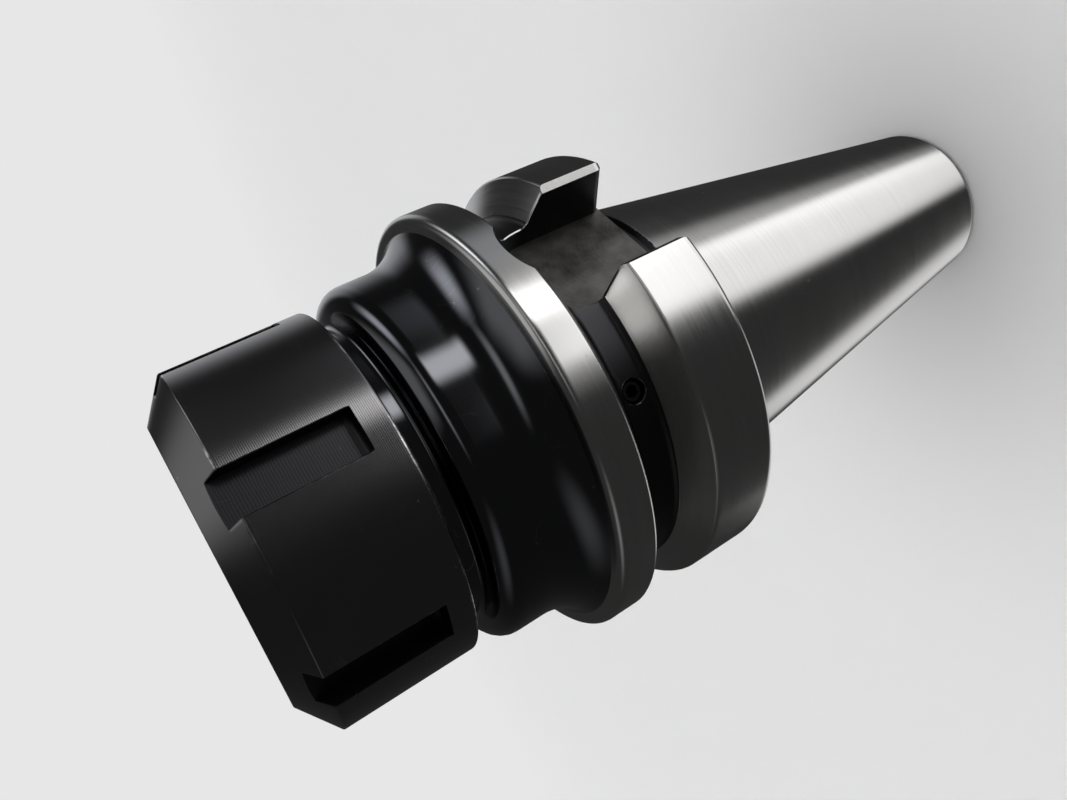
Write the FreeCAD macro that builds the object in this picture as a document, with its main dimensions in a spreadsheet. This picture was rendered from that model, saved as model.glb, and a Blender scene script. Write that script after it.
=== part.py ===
import FreeCAD, Part
import math
import os
import Sketcher
from FreeCAD import Vector

# Collet chuck holder with a steep 7:24 taper, a gripper flange and a slotted clamping nut.
# It stands on the taper's small end: Z runs up the axis from that end to the nut's front face.
# The drive slots open towards +X and -X.

document = FreeCAD.newDocument("ColletChuckHolder")
sheet = document.addObject("Spreadsheet::Sheet", "Sizes")

# Every driving dimension, in millimetres or degrees, for its own row of the size sheet
SIZES = {
    # Taper
    "gauge_diameter": 44.45,  # diameter on the gauge plane
    "taper_length": 65.4,  # small end to the gauge plane
    "taper_rise": 7,  # change of diameter in one taper run
    "taper_run": 24,  # length of one taper run
    "small_end_chamfer": 1.0,  # chamfer round the small end
    "relief_depth": 0.6,  # depth of the relief ring above the gauge plane

    # Flange and its gripper groove
    "flange_gap": 2.0,  # gauge plane to the flange
    "flange_diameter": 63.0,  # flange diameter
    "flange_width": 25.0,  # flange width
    "flange_rounding": 1.0,  # rounding of the flange's outer edges
    "groove_height": 14.6,  # flange's lower face to the middle of the groove
    "groove_mouth": 10.0,  # width of the groove at its mouth
    "groove_depth": 5.0,  # depth of the groove below the flange's outside
    "groove_wall_angle": 30.0,  # slope of each groove wall
    "groove_floor_radius": 1.2,  # radius in the groove's floor corners
    "groove_rim_chamfer": 0.7,  # chamfer along the groove's rims

    # Drive slots
    "drive_slot_count": 2,  # number of drive slots
    "drive_slot_width": 16.1,  # width of a drive slot
    "drive_slot_floor": 22.6,  # axis to the floor of a drive slot
    "drive_slot_length": 21.0,  # flange's lower face to the end of a drive slot
    "drive_slot_chamfer": 0.9,  # chamfer along a drive slot's outer edges

    # Collar, neck and threaded nose
    "collar_step": 5.3,  # flange's outside to the collar's outside
    "collar_length": 13.5,  # collar length above the flange
    "collar_hollow_radius": 8.0,  # hollow radius between flange and collar
    "collar_hollow_height": 6.4,  # height of the hollow above the flange
    "collar_rounding": 3.0,  # rounding of the collar's shoulder
    "shoulder_width": 4.7,  # collar's outside to the neck's outside
    "neck_length": 2.4,  # neck length
    "neck_fillet": 0.8,  # radius at the foot of the neck
    "nose_length": 12.0,  # nose length above the neck
    "nose_thread_diameter": 40.0,  # nominal diameter of the nose thread
    "nose_thread_pitch": 1.5,  # pitch of the nose thread
    "nose_relief_diameter": 37.4,  # thread run-out diameter
    "nose_relief_length": 2.2,  # thread run-out length
    "nose_chamfer": 1.2,  # chamfer at the nose's tip

    # Bores
    "seat_diameter": 32.0,  # collet seat diameter at the nose's tip
    "seat_half_angle": 8.0,  # half angle of the collet seat
    "seat_depth": 31.0,  # depth of the collet seat
    "seat_relief_diameter": 22.0,  # bore behind the collet seat
    "seat_relief_length": 5.5,  # length of the bore behind the collet seat
    "stop_thread_diameter": 18.0,  # nominal diameter of the stop screw's thread
    "stop_thread_pitch": 1.5,  # pitch of the stop screw's thread
    "coolant_bore_diameter": 9.0,  # bore that joins the two threads
    "coolant_bore_length": 8.3,  # length of the bore that joins the two threads
    "stud_thread_diameter": 16.0,  # nominal diameter of the pull stud's thread
    "stud_thread_pitch": 2.0,  # pitch of the pull stud's thread
    "stud_thread_length": 28.0,  # length of the pull stud's thread
    "stud_pilot_diameter": 17.0,  # pilot bore for the pull stud
    "stud_pilot_depth": 9.0,  # depth of the pilot bore
    "bore_chamfer": 0.6,  # chamfer at the mouth of a bore

    # Plug screws in the gripper groove
    "plug_count": 2,  # number of plug screws
    "plug_angle": -43.0,  # turn from a drive slot to the first plug screw
    "plug_diameter": 3.0,  # plug screw diameter
    "plug_length": 4.0,  # plug screw length
    "plug_recess": 0.6,  # groove floor to the plug screw's outer face
    "plug_hole_spare": 2.4,  # hole left under a plug screw
    "plug_socket": 1.5,  # plug screw socket across its flats
    "plug_socket_depth": 1.6,  # plug screw socket depth
    "plug_chamfer": 0.3,  # chamfer of a plug screw

    # Clamping nut
    "nut_diameter": 50.0,  # nut diameter
    "nut_length": 22.5,  # nut length
    "nut_gap": 0.6,  # neck to the nut's lower face
    "nut_rest_angle": -18.9,  # turn from a drive slot to a wrench slot
    "nut_face_diameter": 39.0,  # outer diameter of the nut's front face
    "nut_cone_length": 3.9,  # length of the nut's front cone
    "nut_rounding": 0.5,  # rounding of the nut's outer edges
    "nut_thread_length": 10.5,  # length of the nut's thread
    "nut_relief_depth": 0.9,  # depth of the ring above the nut's thread
    "nut_mouth_diameter": 27.9,  # opening in the nut's front face
    "wrench_slot_count": 6,  # number of wrench slots
    "wrench_slot_width": 5.8,  # width of a wrench slot
    "wrench_slot_floor": 22.6,  # axis to the floor of a wrench slot
    "wrench_slot_start": 3.4,  # nut's lower face to the start of a wrench slot
    "wrench_slot_radius": 1.2,  # radius between a wrench slot's floor and its end
    "lip_thickness": 2.3,  # thickness of the eccentric pulling lip
    "lip_reach": 1.55,  # deepest reach of the lip behind the collet's head
    "lip_offset": 0.75,  # offset of the lip's hole from the axis

    # Collet
    "collet_length": 40.0,  # collet length
    "collet_recess": 0.5,  # nut's front face to the collet's face
    "collet_face_diameter": 27.0,  # collet's face diameter
    "collet_head_diameter": 33.0,  # collet's head diameter
    "collet_front_angle": 30.0,  # half angle of the collet's front cone
    "collet_land": 1.3,  # width of the land on the collet's head
    "collet_groove_width": 3.0,  # width of the collet's pulling groove
    "collet_groove_diameter": 29.2,  # diameter in the collet's pulling groove
    "collet_bore": 16.0,  # collet bore
    "collet_mouth_chamfer": 0.8,  # chamfer at each end of the collet's bore
    "slit_count": 8,  # slits cut from each end of the collet
    "slit_width": 0.9,  # slit width
    "slit_tail_bridge": 5.5,  # metal left below a slit cut from the face
    "slit_head_bridge": 12.5,  # metal left above a slit cut from the tail

    # Stop screw
    "stop_length": 18.0,  # stop screw length
    "stop_height": 8.0,  # lower end of its thread to the stop screw
    "stop_socket": 8.0,  # stop screw socket across its flats
    "stop_chamfer": 1.0,  # chamfer of the stop screw
    "stop_cup_depth": 1.6,  # depth of the centring cup in the stop screw

    # Clearances
    "thread_gap": 0.05,  # radial clearance of a thread
    "seat_gap": 0.05,  # radial clearance of a cone seat
}

for row, (alias, value) in enumerate(SIZES.items(), start=1):
    sheet.set(f"A{row}", alias.replace("_", " "))
    sheet.set(f"B{row}", str(value))
    sheet.setAlias(f"B{row}", alias)
document.recompute()

# Planes across the axis, as formulas of the sheet
FLANGE_LOW = "(Sizes.taper_length + Sizes.flange_gap)"
FLANGE_TOP = f"({FLANGE_LOW} + Sizes.flange_width)"
COLLAR_TOP = f"({FLANGE_TOP} + Sizes.collar_length)"
NECK_TOP = f"({COLLAR_TOP} + Sizes.neck_length)"
NOSE_TOP = f"({NECK_TOP} + Sizes.nose_length)"
NUT_LOW = f"({NECK_TOP} + Sizes.nut_gap)"
NUT_TOP = f"({NUT_LOW} + Sizes.nut_length)"
COLLET_LOW = f"({NUT_TOP} - Sizes.collet_recess - Sizes.collet_length)"
SEAT_LOW = f"({NOSE_TOP} - Sizes.seat_depth)"
STOP_THREAD_TOP = f"({SEAT_LOW} - Sizes.seat_relief_length)"
STUD_THREAD_TOP = "(Sizes.stud_pilot_depth + Sizes.stud_thread_length)"
GROOVE_MIDDLE = f"({FLANGE_LOW} + Sizes.groove_height)"

# Radii that more than one piece uses
TAPER_SLOPE = "(Sizes.taper_rise / Sizes.taper_run / 2)"
FLANGE_RADIUS = "(Sizes.flange_diameter / 2)"
GROOVE_FLOOR = f"({FLANGE_RADIUS} - Sizes.groove_depth)"
COLLAR_RADIUS = f"({FLANGE_RADIUS} - Sizes.collar_step)"
NECK_RADIUS = f"({COLLAR_RADIUS} - Sizes.shoulder_width)"
SEAT_SLOPE = "tan(Sizes.seat_half_angle * 1 deg)"
FRONT_SLOPE = "tan(Sizes.collet_front_angle * 1 deg)"
SEAT_RADIUS = "(Sizes.seat_diameter / 2)"
HEAD_RADIUS = "(Sizes.collet_head_diameter / 2)"
FACE_RADIUS = "(Sizes.collet_face_diameter / 2)"
HEAD_CONE = f"(({HEAD_RADIUS} - {FACE_RADIUS}) / {FRONT_SLOPE})"

# Metric thread: how far its pitch line and its crests lie inside the nominal diameter, in pitches
PITCH_LINE_DROP = 0.6495
CREST_DROP = 1.0825

# The nose and stop screw threads are plain walls at the pitch line, the pull stud's one at its crests.
NOSE_PITCH_RADIUS = f"((Sizes.nose_thread_diameter - {PITCH_LINE_DROP} * Sizes.nose_thread_pitch) / 2)"
STOP_PITCH_RADIUS = f"((Sizes.stop_thread_diameter - {PITCH_LINE_DROP} * Sizes.stop_thread_pitch) / 2)"
STUD_CREST_RADIUS = f"((Sizes.stud_thread_diameter - {CREST_DROP} * Sizes.stud_thread_pitch) / 2)"

# Planes of the bore between the two inner threads, which ends in a 45 degree cone at each of them
COOLANT_RADIUS = "(Sizes.coolant_bore_diameter / 2)"
STOP_BORE_RADIUS = f"({STOP_PITCH_RADIUS} + Sizes.thread_gap)"
COOLANT_LOW = f"({STUD_THREAD_TOP} + {STUD_CREST_RADIUS} - {COOLANT_RADIUS})"
COOLANT_TOP = f"({COOLANT_LOW} + Sizes.coolant_bore_length)"
STOP_THREAD_LOW = f"({COOLANT_TOP} + {STOP_BORE_RADIUS} - {COOLANT_RADIUS})"

# How far a cut runs past the face that it opens through
OVERRUN = 2.0
# How near an edge has to lie to the place where it is looked for
TOLERANCE = 1e-3

Y_AXIS = "0; 1; 0"
Z_AXIS = "0; 0; 1"


def number(formula):
    """Value of a formula of the sheet as a plain number."""
    result = sheet.evalExpression(str(formula))
    return float(getattr(result, "Value", result))


def new_body(label):
    """Empty body whose label names its file."""
    body = document.addObject("PartDesign::Body", label)
    body.Label = label
    return body


def seat(rise, axis=Z_AXIS, turn="0"):
    """Formula of a placement: a rise along Z and a turn about an axis, both formulas of the sheet."""
    return f"placement(vector(0; 0; {rise}); rotation(vector({axis}); {turn}))"


def new_sketch(body, name, plane, shift="0", turn="0"):
    """Sketch on one of the body's own planes, turned about its Y axis and shifted along its normal."""
    sketch = body.newObject("Sketcher::SketchObject", name)
    support = next(face for face in body.Origin.OriginFeatures if face.Role == plane)
    sketch.AttachmentSupport = [(support, "")]
    sketch.MapMode = "FlatFace"
    sketch.setExpression("AttachmentOffset", f"{seat('0', Y_AXIS, turn)} * {seat(shift)}")
    return sketch


def pin_point(sketch, edge, point, across, along):
    """Hold a point of an edge, such as its start, 1, or its centre, 3, at two formulas of the sheet."""
    for kind, axis, formula in (("DistanceX", -2, across), ("DistanceY", -1, along)):
        if formula == "0":
            sketch.addConstraint(Sketcher.Constraint("PointOnObject", edge, point, axis))
            continue
        held = Sketcher.Constraint(kind, -1, 1, edge, point, number(formula))
        index = sketch.addConstraint(held)
        sketch.setExpression(f"Constraints[{index}]", formula)


def pin_corner(sketch, edge, across, along):
    """Hold the start of an edge at two formulas of the sheet."""
    pin_point(sketch, edge, 1, across, along)


def draw_outline(sketch, corners):
    """Closed outline of straight edges through corners given as pairs of formulas."""
    places = [Vector(number(across), number(along), 0) for across, along in corners]
    count = len(places)
    for edge in range(count):
        sketch.addGeometry(Part.LineSegment(places[edge], places[(edge + 1) % count]), False)
    for edge in range(count):
        sketch.addConstraint(Sketcher.Constraint("Coincident", edge, 2, (edge + 1) % count, 1))
    for edge, (across, along) in enumerate(corners):
        pin_corner(sketch, edge, across, along)


def draw_circle(sketch, across, along, radius):
    """Circle whose centre and radius are formulas of the sheet."""
    centre = Vector(number(across), number(along), 0)
    sketch.addGeometry(Part.Circle(centre, Vector(0, 0, 1), number(radius)), False)
    pin_point(sketch, 0, 3, across, along)
    index = sketch.addConstraint(Sketcher.Constraint("Radius", 0, number(radius)))
    sketch.setExpression(f"Constraints[{index}]", radius)


def turn_outline(body, name, corners, cut=False):
    """Turn an outline in the XZ plane round the Z axis, as metal or as a cut."""
    sketch = new_sketch(body, name + "_outline", "XZ_Plane")
    draw_outline(sketch, corners)
    kind = "PartDesign::Groove" if cut else "PartDesign::Revolution"
    turned = body.newObject(kind, name)
    turned.Profile = sketch
    turned.ReferenceAxis = (sketch, ["V_Axis"])
    turned.Angle = 360
    document.recompute()
    return turned


def cut_away(body, name, sketch, depth=None):
    """Pocket along the sketch's normal, away from the axis, to a depth or through all."""
    before = body.Shape.Volume
    pocket = body.newObject("PartDesign::Pocket", name)
    pocket.Profile = sketch
    pocket.Reversed = True
    if depth is None:
        pocket.Type = "ThroughAll"
    else:
        pocket.Type = "Length"
        pocket.setExpression("Length", depth)
    document.recompute()
    if body.Shape.Volume > before - TOLERANCE:
        raise RuntimeError(name + " cuts nothing")
    return pocket


def repeat_round(body, name, cuts, count):
    """Repeat cuts evenly round the Z axis."""
    pattern = body.newObject("PartDesign::PolarPattern", name)
    pattern.Originals = cuts
    spindle = next(line for line in body.Origin.OriginFeatures if line.Role == "Z_Axis")
    pattern.Axis = (spindle, [""])
    pattern.Angle = 360
    pattern.setExpression("Occurrences", count)
    body.Tip = pattern
    document.recompute()
    return pattern


def ring_edges(shape, radius, height):
    """Names of the round edges about the Z axis with this radius at this height."""
    names = []
    for index, edge in enumerate(shape.Edges, start=1):
        if not isinstance(edge.Curve, Part.Circle):
            continue
        miss = edge.Curve.Center.distanceToPoint(Vector(0, 0, height))
        if miss < TOLERANCE and abs(edge.Curve.Radius - radius) < TOLERANCE:
            names.append(f"Edge{index}")
    return names


def slot_edges(shape, half_width, radius):
    """Names of the straight edges where walls at this half width meet the rim of this radius."""
    names = []
    reach = (radius ** 2 - half_width ** 2) ** 0.5
    for index, edge in enumerate(shape.Edges, start=1):
        ends = [vertex.Point for vertex in edge.Vertexes]
        if len(ends) != 2 or not isinstance(edge.Curve, Part.Line):
            continue
        on_wall = all(abs(abs(end.y) - half_width) < TOLERANCE for end in ends)
        on_rim = all(abs(abs(end.x) - reach) < TOLERANCE for end in ends)
        if on_wall and on_rim:
            names.append(f"Edge{index}")
    return names


def floor_edges(shape, floor, height):
    """Names of the level straight edges that lie this far from the Z axis at this height."""
    names = []
    for index, edge in enumerate(shape.Edges, start=1):
        if not isinstance(edge.Curve, Part.Line):
            continue
        level = all(abs(vertex.Z - height) < TOLERANCE for vertex in edge.Vertexes)
        middle = edge.CenterOfMass
        if level and abs(math.hypot(middle.x, middle.y) - floor) < TOLERANCE:
            names.append(f"Edge{index}")
    return names


def soften(body, kind, name, names, size):
    """Fillet or chamfer on named edges of the body's last feature."""
    if not names:
        raise RuntimeError(name + " has no edge")
    base = body.Tip
    feature = body.newObject("PartDesign::" + kind, name)
    feature.Base = (base, names)
    feature.setExpression("Radius" if kind == "Fillet" else "Size", size)
    body.Tip = feature
    document.recompute()
    if feature.Shape.isNull() or not feature.Shape.isValid():
        raise RuntimeError(name + " failed")
    return feature


def turned_blank(body):
    """Outside of the holder as it leaves the lathe: taper, flange, collar, neck and nose."""
    chamfer = "Sizes.small_end_chamfer"
    small_radius = f"(Sizes.gauge_diameter / 2 - Sizes.taper_length * {TAPER_SLOPE})"
    nose_radius = f"({NOSE_PITCH_RADIUS} - Sizes.thread_gap)"
    relief_radius = "(Sizes.gauge_diameter / 2 - Sizes.relief_depth)"
    run_out = "(Sizes.nose_relief_diameter / 2)"
    run_out_top = f"({NECK_TOP} + Sizes.nose_relief_length)"
    turn_outline(body, "turned_blank", [
        ("0", "0"),
        (f"{small_radius} - {chamfer}", "0"),
        (f"{small_radius} + {chamfer} * {TAPER_SLOPE}", chamfer),
        ("Sizes.gauge_diameter / 2", "Sizes.taper_length"),
        (relief_radius, "Sizes.taper_length + Sizes.relief_depth"),
        (relief_radius, FLANGE_LOW),
        (FLANGE_RADIUS, FLANGE_LOW),
        (FLANGE_RADIUS, FLANGE_TOP),
        (COLLAR_RADIUS, FLANGE_TOP),
        (COLLAR_RADIUS, COLLAR_TOP),
        (NECK_RADIUS, COLLAR_TOP),
        (NECK_RADIUS, NECK_TOP),
        (run_out, NECK_TOP),
        (run_out, run_out_top),
        (nose_radius, f"{run_out_top} + {nose_radius} - {run_out}"),
        (nose_radius, f"{NOSE_TOP} - Sizes.nose_chamfer"),
        (f"{nose_radius} - Sizes.nose_chamfer", NOSE_TOP),
        ("0", NOSE_TOP),
    ])


def gripper_groove(body):
    """Sixty degree groove that a tool changer's fingers hold, with rounded floor corners."""
    slope = "tan(Sizes.groove_wall_angle * 1 deg)"
    half_mouth = "(Sizes.groove_mouth / 2)"
    half_floor = f"({half_mouth} - ({FLANGE_RADIUS} - {GROOVE_FLOOR}) * {slope})"
    outside = f"({FLANGE_RADIUS} + {OVERRUN})"
    half_outside = f"({half_mouth} + {OVERRUN} * {slope})"
    turn_outline(body, "gripper_groove", [
        (GROOVE_FLOOR, f"{GROOVE_MIDDLE} - {half_floor}"),
        (outside, f"{GROOVE_MIDDLE} - {half_outside}"),
        (outside, f"{GROOVE_MIDDLE} + {half_outside}"),
        (GROOVE_FLOOR, f"{GROOVE_MIDDLE} + {half_floor}"),
    ], cut=True)
    middle = number(GROOVE_MIDDLE)
    corners = []
    for side in (-1, 1):
        corners += ring_edges(body.Shape, number(GROOVE_FLOOR), middle + side * number(half_floor))
    soften(body, "Fillet", "groove_floor_corners", corners, "Sizes.groove_floor_radius")
    rims = []
    for side in (-1, 1):
        rims += ring_edges(body.Shape, number(FLANGE_RADIUS), middle + side * number(half_mouth))
    soften(body, "Chamfer", "groove_rims", rims, "Sizes.groove_rim_chamfer")


def round_outside(body):
    """Roundings and hollow radii of the flange, collar and neck."""
    rims = []
    for height in (FLANGE_LOW, FLANGE_TOP):
        rims += ring_edges(body.Shape, number(FLANGE_RADIUS), number(height))
    soften(body, "Fillet", "flange_edges", rims, "Sizes.flange_rounding")
    shoulder = ring_edges(body.Shape, number(COLLAR_RADIUS), number(COLLAR_TOP))
    soften(body, "Fillet", "collar_shoulder", shoulder, "Sizes.collar_rounding")
    neck = ring_edges(body.Shape, number(NECK_RADIUS), number(COLLAR_TOP))
    soften(body, "Fillet", "neck_foot", neck, "Sizes.neck_fillet")


def collar_foot(body):
    """Hollow at the collar's foot: an arc that leaves the collar smoothly and ends on the flange's face."""
    radius = "Sizes.collar_hollow_radius"
    inside = f"({COLLAR_RADIUS} - {OVERRUN})"
    top = f"({FLANGE_TOP} + Sizes.collar_hollow_height)"
    centre = f"({COLLAR_RADIUS} + {radius})"
    rim = f"({centre} - ({radius} ^ 2 - Sizes.collar_hollow_height ^ 2) ^ 0.5)"
    sketch = new_sketch(body, "collar_foot_outline", "XZ_Plane")
    head = Vector(number(COLLAR_RADIUS), number(top), 0)
    inner_top = Vector(number(inside), number(top), 0)
    inner_foot = Vector(number(inside), number(FLANGE_TOP), 0)
    foot = Vector(number(rim), number(FLANGE_TOP), 0)
    sketch.addGeometry(Part.LineSegment(head, inner_top), False)
    sketch.addGeometry(Part.LineSegment(inner_top, inner_foot), False)
    sketch.addGeometry(Part.LineSegment(inner_foot, foot), False)
    middle = Vector(number(centre), number(top), 0)
    sweep = math.asin(number(f"Sizes.collar_hollow_height / {radius}"))
    whole = Part.Circle(middle, Vector(0, 0, 1), number(radius))
    sketch.addGeometry(Part.ArcOfCircle(whole, math.pi, math.pi + sweep), False)
    sketch.addConstraint(Sketcher.Constraint("Coincident", 0, 2, 1, 1))
    sketch.addConstraint(Sketcher.Constraint("Coincident", 1, 2, 2, 1))
    sketch.addConstraint(Sketcher.Constraint("Coincident", 2, 2, 3, 2))
    sketch.addConstraint(Sketcher.Constraint("Coincident", 3, 1, 0, 1))
    pin_corner(sketch, 0, COLLAR_RADIUS, top)
    pin_corner(sketch, 1, inside, top)
    pin_corner(sketch, 2, inside, FLANGE_TOP)
    pin_point(sketch, 3, 3, centre, top)
    level = Sketcher.Constraint("DistanceY", -1, 1, 3, 2, number(FLANGE_TOP))
    sketch.setExpression(f"Constraints[{sketch.addConstraint(level)}]", FLANGE_TOP)
    ring = body.newObject("PartDesign::Revolution", "collar_foot")
    ring.Profile = sketch
    ring.ReferenceAxis = (sketch, ["V_Axis"])
    ring.Angle = 360
    document.recompute()


def drive_slots(body):
    """Two slots milled into the flange from outside, with the cutter's round end."""
    half = "Sizes.drive_slot_width / 2"
    end_centre = f"({FLANGE_LOW} + Sizes.drive_slot_length - {half})"
    outline = new_sketch(body, "drive_slot_outline", "YZ_Plane", "Sizes.drive_slot_floor")
    draw_outline(outline, [
        (f"0 - {half}", f"{FLANGE_LOW} - {OVERRUN}"),
        (half, f"{FLANGE_LOW} - {OVERRUN}"),
        (half, end_centre),
        (f"0 - {half}", end_centre),
    ])
    straight = cut_away(body, "drive_slot", outline)
    circle = new_sketch(body, "drive_slot_end_circle", "YZ_Plane", "Sizes.drive_slot_floor")
    draw_circle(circle, "0", end_centre, half)
    round_end = cut_away(body, "drive_slot_end", circle)
    repeat_round(body, "drive_slots", [straight, round_end], "Sizes.drive_slot_count")
    edges = slot_edges(body.Shape, number(half), number(FLANGE_RADIUS))
    soften(body, "Chamfer", "drive_slot_edges", edges, "Sizes.drive_slot_chamfer")


def holder_bores(body):
    """Collet seat, stop screw thread, coolant bore, pull stud thread and its pilot, on one axis."""
    seat_low_radius = f"({SEAT_RADIUS} - Sizes.seat_depth * {SEAT_SLOPE})"
    pilot_radius = "(Sizes.stud_pilot_diameter / 2)"
    chamfer = "Sizes.bore_chamfer"
    turn_outline(body, "bores", [
        ("0", f"{NOSE_TOP} + {OVERRUN}"),
        ("0", f"0 - {OVERRUN}"),
        (f"{pilot_radius} + {chamfer} + {OVERRUN}", f"0 - {OVERRUN}"),
        (pilot_radius, chamfer),
        (pilot_radius, "Sizes.stud_pilot_depth"),
        (STUD_CREST_RADIUS, "Sizes.stud_pilot_depth"),
        (STUD_CREST_RADIUS, STUD_THREAD_TOP),
        (COOLANT_RADIUS, COOLANT_LOW),
        (COOLANT_RADIUS, COOLANT_TOP),
        (STOP_BORE_RADIUS, STOP_THREAD_LOW),
        (STOP_BORE_RADIUS, f"{STOP_THREAD_TOP} - {chamfer}"),
        ("Sizes.seat_relief_diameter / 2", STOP_THREAD_TOP),
        ("Sizes.seat_relief_diameter / 2", SEAT_LOW),
        (seat_low_radius, SEAT_LOW),
        (f"{SEAT_RADIUS} + {OVERRUN} * {SEAT_SLOPE}", f"{NOSE_TOP} + {OVERRUN}"),
    ], cut=True)


def plug_holes(body):
    """Radial blind holes in the groove's floor for the plug screws."""
    hole_floor = f"({GROOVE_FLOOR} - Sizes.plug_recess - Sizes.plug_length - Sizes.plug_hole_spare)"
    sketch = new_sketch(body, "plug_hole_circle", "YZ_Plane", hole_floor, "Sizes.plug_angle")
    draw_circle(sketch, "0", GROOVE_MIDDLE, "Sizes.plug_diameter / 2 + Sizes.thread_gap")
    hole = cut_away(body, "plug_hole", sketch)
    repeat_round(body, "plug_holes", [hole], "Sizes.plug_count")


def holder_body():
    """One solid turned and milled from a bar."""
    body = new_body("holder_body")
    turned_blank(body)
    gripper_groove(body)
    round_outside(body)
    collar_foot(body)
    drive_slots(body)
    holder_bores(body)
    plug_holes(body)
    return body


def nut_blank(body):
    """Ring section of the nut: thread, relief, pulling lip, front cone seat and mouth."""
    length = "Sizes.nut_length"
    thread_radius = f"({NOSE_PITCH_RADIUS} + Sizes.thread_gap)"
    relief_radius = f"({thread_radius} + Sizes.nut_relief_depth)"
    lip_gap = "((Sizes.collet_groove_width - Sizes.lip_thickness) / 2)"
    head_depth = f"(Sizes.collet_recess + {HEAD_CONE})"
    lip_top = f"({length} - {head_depth} - Sizes.collet_land - {lip_gap})"
    lip_low = f"({lip_top} - Sizes.lip_thickness)"
    lip_radius = f"({HEAD_RADIUS} - Sizes.lip_reach)"
    head_wall = f"({HEAD_RADIUS} + Sizes.seat_gap)"
    mouth_radius = "(Sizes.nut_mouth_diameter / 2)"
    mouth_spread = f"({mouth_radius} - {FACE_RADIUS} - Sizes.seat_gap)"
    mouth_depth = f"(Sizes.collet_recess + {mouth_spread} / {FRONT_SLOPE})"
    turn_outline(body, "nut_blank", [
        ("Sizes.nut_diameter / 2", "0"),
        ("Sizes.nut_diameter / 2", f"{length} - Sizes.nut_cone_length"),
        ("Sizes.nut_face_diameter / 2", length),
        (mouth_radius, length),
        (mouth_radius, f"{length} - {mouth_depth}"),
        (head_wall, f"{length} - {head_depth}"),
        (head_wall, lip_top),
        (lip_radius, lip_top),
        (lip_radius, lip_low),
        (relief_radius, lip_low),
        (relief_radius, "Sizes.nut_thread_length + Sizes.nut_relief_depth"),
        (thread_radius, "Sizes.nut_thread_length"),
        (thread_radius, "Sizes.bore_chamfer"),
        (f"{thread_radius} + Sizes.bore_chamfer", "0"),
    ])
    return lip_low


def lip_hole(body, lip_low):
    """Eccentric hole that leaves the lip as a crescent, so that the collet snaps in at a slant."""
    sketch = new_sketch(body, "lip_hole_circle", "XY_Plane", lip_low)
    hole_radius = f"({HEAD_RADIUS} - Sizes.lip_reach + Sizes.lip_offset)"
    draw_circle(sketch, "Sizes.lip_offset", "0", hole_radius)
    cut_away(body, "lip_hole", sketch, "Sizes.lip_thickness")


def wrench_slots(body):
    """Flat-floored slots for a hook or pin wrench, open at the nut's front cone."""
    sketch = new_sketch(body, "wrench_slot_outline", "YZ_Plane", "Sizes.wrench_slot_floor")
    half = "Sizes.wrench_slot_width / 2"
    draw_outline(sketch, [
        (f"0 - {half}", "Sizes.wrench_slot_start"),
        (half, "Sizes.wrench_slot_start"),
        (half, f"Sizes.nut_length + {OVERRUN}"),
        (f"0 - {half}", f"Sizes.nut_length + {OVERRUN}"),
    ])
    slot = cut_away(body, "wrench_slot", sketch)
    repeat_round(body, "wrench_slots", [slot], "Sizes.wrench_slot_count")
    height = number("Sizes.wrench_slot_start")
    edges = floor_edges(body.Shape, number("Sizes.wrench_slot_floor"), height)
    soften(body, "Fillet", "wrench_slot_ends", edges, "Sizes.wrench_slot_radius")


def clamping_nut():
    """Nut that presses the collet into its seat and pulls it out again."""
    body = new_body("clamping_nut")
    lip_low = nut_blank(body)
    outer = number("Sizes.nut_diameter / 2")
    cone_foot = number("Sizes.nut_length - Sizes.nut_cone_length")
    edges = ring_edges(body.Shape, outer, 0) + ring_edges(body.Shape, outer, cone_foot)
    edges += ring_edges(body.Shape, number("Sizes.nut_face_diameter / 2"), number("Sizes.nut_length"))
    soften(body, "Fillet", "nut_edges", edges, "Sizes.nut_rounding")
    lip_hole(body, lip_low)
    wrench_slots(body)
    body.setExpression("Placement", seat(NUT_LOW, Z_AXIS, "Sizes.nut_rest_angle"))
    return body


def cut_slits(body, name, low, top, turn):
    """One slit through the collet's wall between two heights, repeated round the axis."""
    sketch = new_sketch(body, name + "_outline", "YZ_Plane", "0", turn)
    half = "Sizes.slit_width / 2"
    draw_outline(sketch, [
        (f"0 - {half}", low),
        (half, low),
        (half, top),
        (f"0 - {half}", top),
    ])
    slit = cut_away(body, name, sketch)
    repeat_round(body, name + "_row", [slit], "Sizes.slit_count")


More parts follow.
